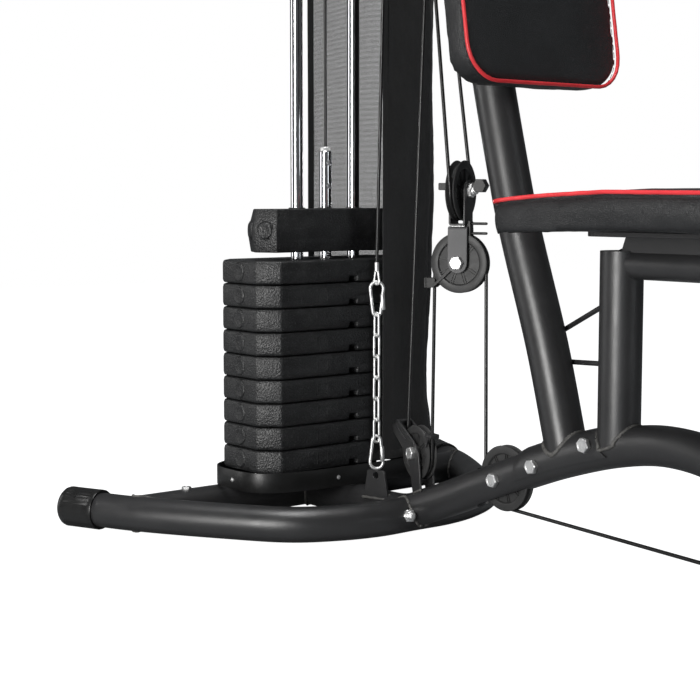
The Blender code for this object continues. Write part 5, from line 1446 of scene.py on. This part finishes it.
def pad(name, node, c, eu, ev, en, hu, hv, rc, depth, crown, look="leather", body="root", pipe=None, pipe_r=0.0025, drop=None, seed=1, sag=0.0):
    """A pad centred on c (on its underside), eu and ev across, en up. pipe(u, v) gives the height of the piping, drop(u, v) that of the lower edge."""
    pipe = pipe or (lambda u, v: depth - 0.010)
    drop = drop or (lambda u, v: 0.0)
    outline = even([(a, b) for a, b in rounded(hu, hv, rc, 8)], 176)
    n = len(outline)
    P = lambda u, v, h: c + eu * u + ev * v + en * h
    bm = bmesh.new()
    rr = []
    inset = lambda k, s: (outline[k][0] * (1 - s), outline[k][1] * (1 - s))
    norm = []
    for k in range(n):
        a, b = Vector(outline[k - 1]), Vector(outline[(k + 1) % n])
        t = (b - a).normalized()
        w = Vector((t.y, -t.x))
        norm.append(w if w.dot(Vector(outline[k])) > 0 else -w)
    W = lambda u, v, h, f=1.0: 0.0010 * f * noise.noise(Vector((u * 34 + seed * 7.3, v * 34, h * 40))) + 0.0005 * f * noise.noise(Vector((u * 110, v * 110 + seed, h * 90)))
    # underside centre, folded edge, side band, shoulder, crowned top
    for s, h in ((0.97, 0.0042), (0.60, 0.0042), (0.12, 0.0040), (0.055, 0.0030)):
        rr.append([P(*inset(k, s), h + drop(*outline[k])) for k in range(n)])
    for t in (0.0, 0.04, 0.12, 0.25, 0.40, 0.55, 0.70, 0.84, 0.94, 1.0):
        row = []
        for k, (u, v) in enumerate(outline):
            lo, hi = drop(u, v), pipe(u, v) - 0.0022
            out = -0.0042 * max(0.0, (t - 0.55) / 0.45) ** 2 - 0.0022 * (1 - t) ** 2 + 0.0012 * math.sin(math.pi * t)
            out += W(u, v, t, 1.1) + 0.0012 * noise.noise(Vector((u * 60, v * 60, seed))) * (1 - t) ** 2
            q = Vector((u, v)) + norm[k] * out
            row.append(P(q.x, q.y, lo + (hi - lo) * t + 0.0008 * noise.noise(Vector((u * 120, v * 120, seed + 3))) * (1 - t) ** 3))
        rr.append(row)
    for s in (0.012, 0.03, 0.06, 0.11, 0.18, 0.27, 0.38, 0.50, 0.63, 0.76, 0.88, 0.96):
        row = []
        for k, (u, v) in enumerate(outline):
            a, b = inset(k, s)
            base = pipe(u, v) * (1 - s) + (depth - 0.004) * s
            rise = crown * (1 - (1 - min(1, s / 0.55)) ** 2.2) * (1 - 0.15 * s)
            row.append(P(a, b, base - 0.0010 + rise - sag * s + W(a, b, 0.3, 1.0) * min(1, s * 8)))
        rr.append(row)
    rings(bm, rr)
    o = obj(name, bm, look, sharp=180)
    top = lambda p: (p - c).dot(en)
    def hold(p):
        h, u, v = top(p), (p - c).dot(eu), (p - c).dot(ev)
        if h < 0.008:
            return 1.0
        edge = min(hu - abs(u), hv - abs(v))
        near = abs(h - pipe(u, v))
        return 1.0 if (near < 0.005 and edge < 0.010) else 0.0
    simulate(o, cap=0.0045, pin=hold, voxel=0.0055)
    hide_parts(node)
    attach(o, body)
    # red piping and its stitched line
    line = []
    for k in range(0, n, 1):
        u, v = outline[k]
        q = Vector((u, v)) + norm[k] * 0.0010
        line.append(P(q.x, q.y, pipe(u, v) + 0.0003 * noise.noise(Vector((u * 70, v * 70, 2)))))
    if pipe_r:
        obj(name + "_piping", tube_bm(line, pipe_r, 14, closed=True), "red", body, sharp=80)
    st = bmesh.new()
    dist, last = 0.0, None
    for k in range(n):
        u, v = outline[k]
        u2, v2 = outline[(k + 1) % n]
        m = Vector(((u + u2) / 2, (v + v2) / 2))
        nn = (norm[k] + norm[(k + 1) % n]).normalized()
        a = Vector((u, v)).lerp(Vector((u2, v2)), 0.14) + nn * 0.0010
        b = Vector((u, v)).lerp(Vector((u2, v2)), 0.86) + nn * 0.0010
        h = pipe(m.x, m.y) - 0.0068
        tube_bm([P(a.x, a.y, h), P(m.x + nn.x * 0.0012, m.y + nn.y * 0.0012, h), P(b.x, b.y, h)], 0.00042, 6, bm=st)
    obj(name + "_stitches", st, "leather", body)
    # board under the pad
    b2 = [(a * (1 - 0.012 / hu), b * (1 - 0.012 / hv)) for a, b in outline]
    bm = bmesh.new()
    rings(bm, [[P(a, b, drop(a, b) + h) for a, b in b2] for h in (0.0012, 0.0050)])
    obj(name + "_board", bm, "board", body)
    return o


seat_c = S(0.7080, 0, 0.4440)
pad("seat_cushion", "seat_pad", seat_c, EX, EY, UPV, 0.195, 0.1575, 0.036, 0.0580, 0.0035,
    pipe=lambda u, v: float(np.interp(u, [-0.195, -0.14, -0.088, 0.0, 0.195], [0.0397, 0.0450, 0.0486, 0.0524, 0.0505])),
    drop=lambda u, v: float(np.interp(u, [-0.195, 0.0, 0.195], [0.0012, 0.0092, 0.0072])) - 0.0016 * abs(noise.noise(Vector((u * 45, v * 45, 4.0)))), seed=1)
pa = S(upx(0.630) + 0.0254 + 0.032, 0, 0.630)
pb = S(upx(1.310) + 0.0254 + 0.026, 0, 1.310)
bdir = (pb - pa).normalized()
bn = Vector((bdir.z, 0, -bdir.x))
bl = (pb - pa).length
pad("back_cushion", "backrest_pad", (pa + pb) / 2, bdir, EY, bn, bl / 2, 0.138, 0.045, 0.0520, 0.0020,
    pipe=lambda u, v: 0.0430, seed=2)

# ------------------------------------------------------------------ floor, light, camera transform
bm = bmesh.new()
q = [bm.verts.new(p) for p in ((-6, -6, 0), (6, -6, 0), (6, 6, 0), (-6, 6, 0))]
bm.faces.new(q)
fl = Nodes("floor")
fl.b.inputs["Base Color"].default_value = (0.30, 0.31, 0.32, 1)
rr = fl.noise(9.0, 4.0)
mixr = fl.node("MapRange", From_Min=0.0, From_Max=1.0, To_Min=0.62, To_Max=0.70)
fl.link(rr, mixr.inputs["Value"])
fl.link(mixr.outputs["Result"], fl.b.inputs["Roughness"])
seen = fl.node("LightPath")
fl.link(seen.outputs["Is Camera Ray"], fl.b.inputs["Emission Strength"])
fl.b.inputs["Emission Color"].default_value = (1, 1, 1, 1)
M["floor"] = fl.m
me = bpy.data.meshes.new("floor")
bm.to_mesh(me)
bm.free()
me.materials.append(fl.m)
floor = bpy.data.objects.new("floor", me)
SC.collection.objects.link(floor)

w = bpy.data.worlds.new("world")
SC.world = w
w.use_nodes = True
t = w.node_tree
bg = t.nodes["Background"]
out = t.nodes["World Output"]
lp = t.nodes.new("ShaderNodeLightPath")
white = t.nodes.new("ShaderNodeBackground")
white.inputs["Color"].default_value = (1, 1, 1, 1)
white.inputs["Strength"].default_value = 1.0
bg.inputs["Color"].default_value = (0.94, 0.97, 1.0, 1)
bg.inputs["Strength"].default_value = 0.10
mx = t.nodes.new("ShaderNodeMixShader")
t.links.new(lp.outputs["Is Camera Ray"], mx.inputs["Fac"])
t.links.new(bg.outputs["Background"], mx.inputs[1])
t.links.new(white.outputs["Background"], mx.inputs[2])
t.links.new(mx.outputs["Shader"], out.inputs["Surface"])


def light(name, at, to, size, power, colour=(1, 1, 1)):
    d = bpy.data.lights.new(name, 'AREA')
    d.shape = 'RECTANGLE'
    d.size, d.size_y = size
    d.energy = power
    d.color = colour
    o = bpy.data.objects.new(name, d)
    o.location = at
    o.rotation_euler = (Vector(to) - Vector(at)).to_track_quat('-Z', 'Y').to_euler()
    SC.collection.objects.link(o)
    return o


light("overhead", (-0.1, -0.3, 2.9), (-0.1, 0.0, 0.3), (1.5, 1.5), 62)
light("key", (0.72, -2.70, 0.62), (-0.1, 0.0, 0.30), (0.70, 1.2), 62, (1.0, 0.99, 0.975))
light("left", (-2.3, -1.9, 1.0), (-0.3, 0.0, 0.4), (0.6, 1.8), 12, (1.0, 0.99, 0.98))
light("right", (2.9, 0.9, 1.0), (0.2, 0.0, 0.4), (0.4, 1.8), 7, (0.93, 0.97, 1.0))
light("low_fill", (1.5, -1.9, 0.12), (0.1, 0.0, 0.2), (1.6, 0.4), 2.2, (0.88, 0.95, 1.0))
SC.view_settings.view_transform = 'Standard'
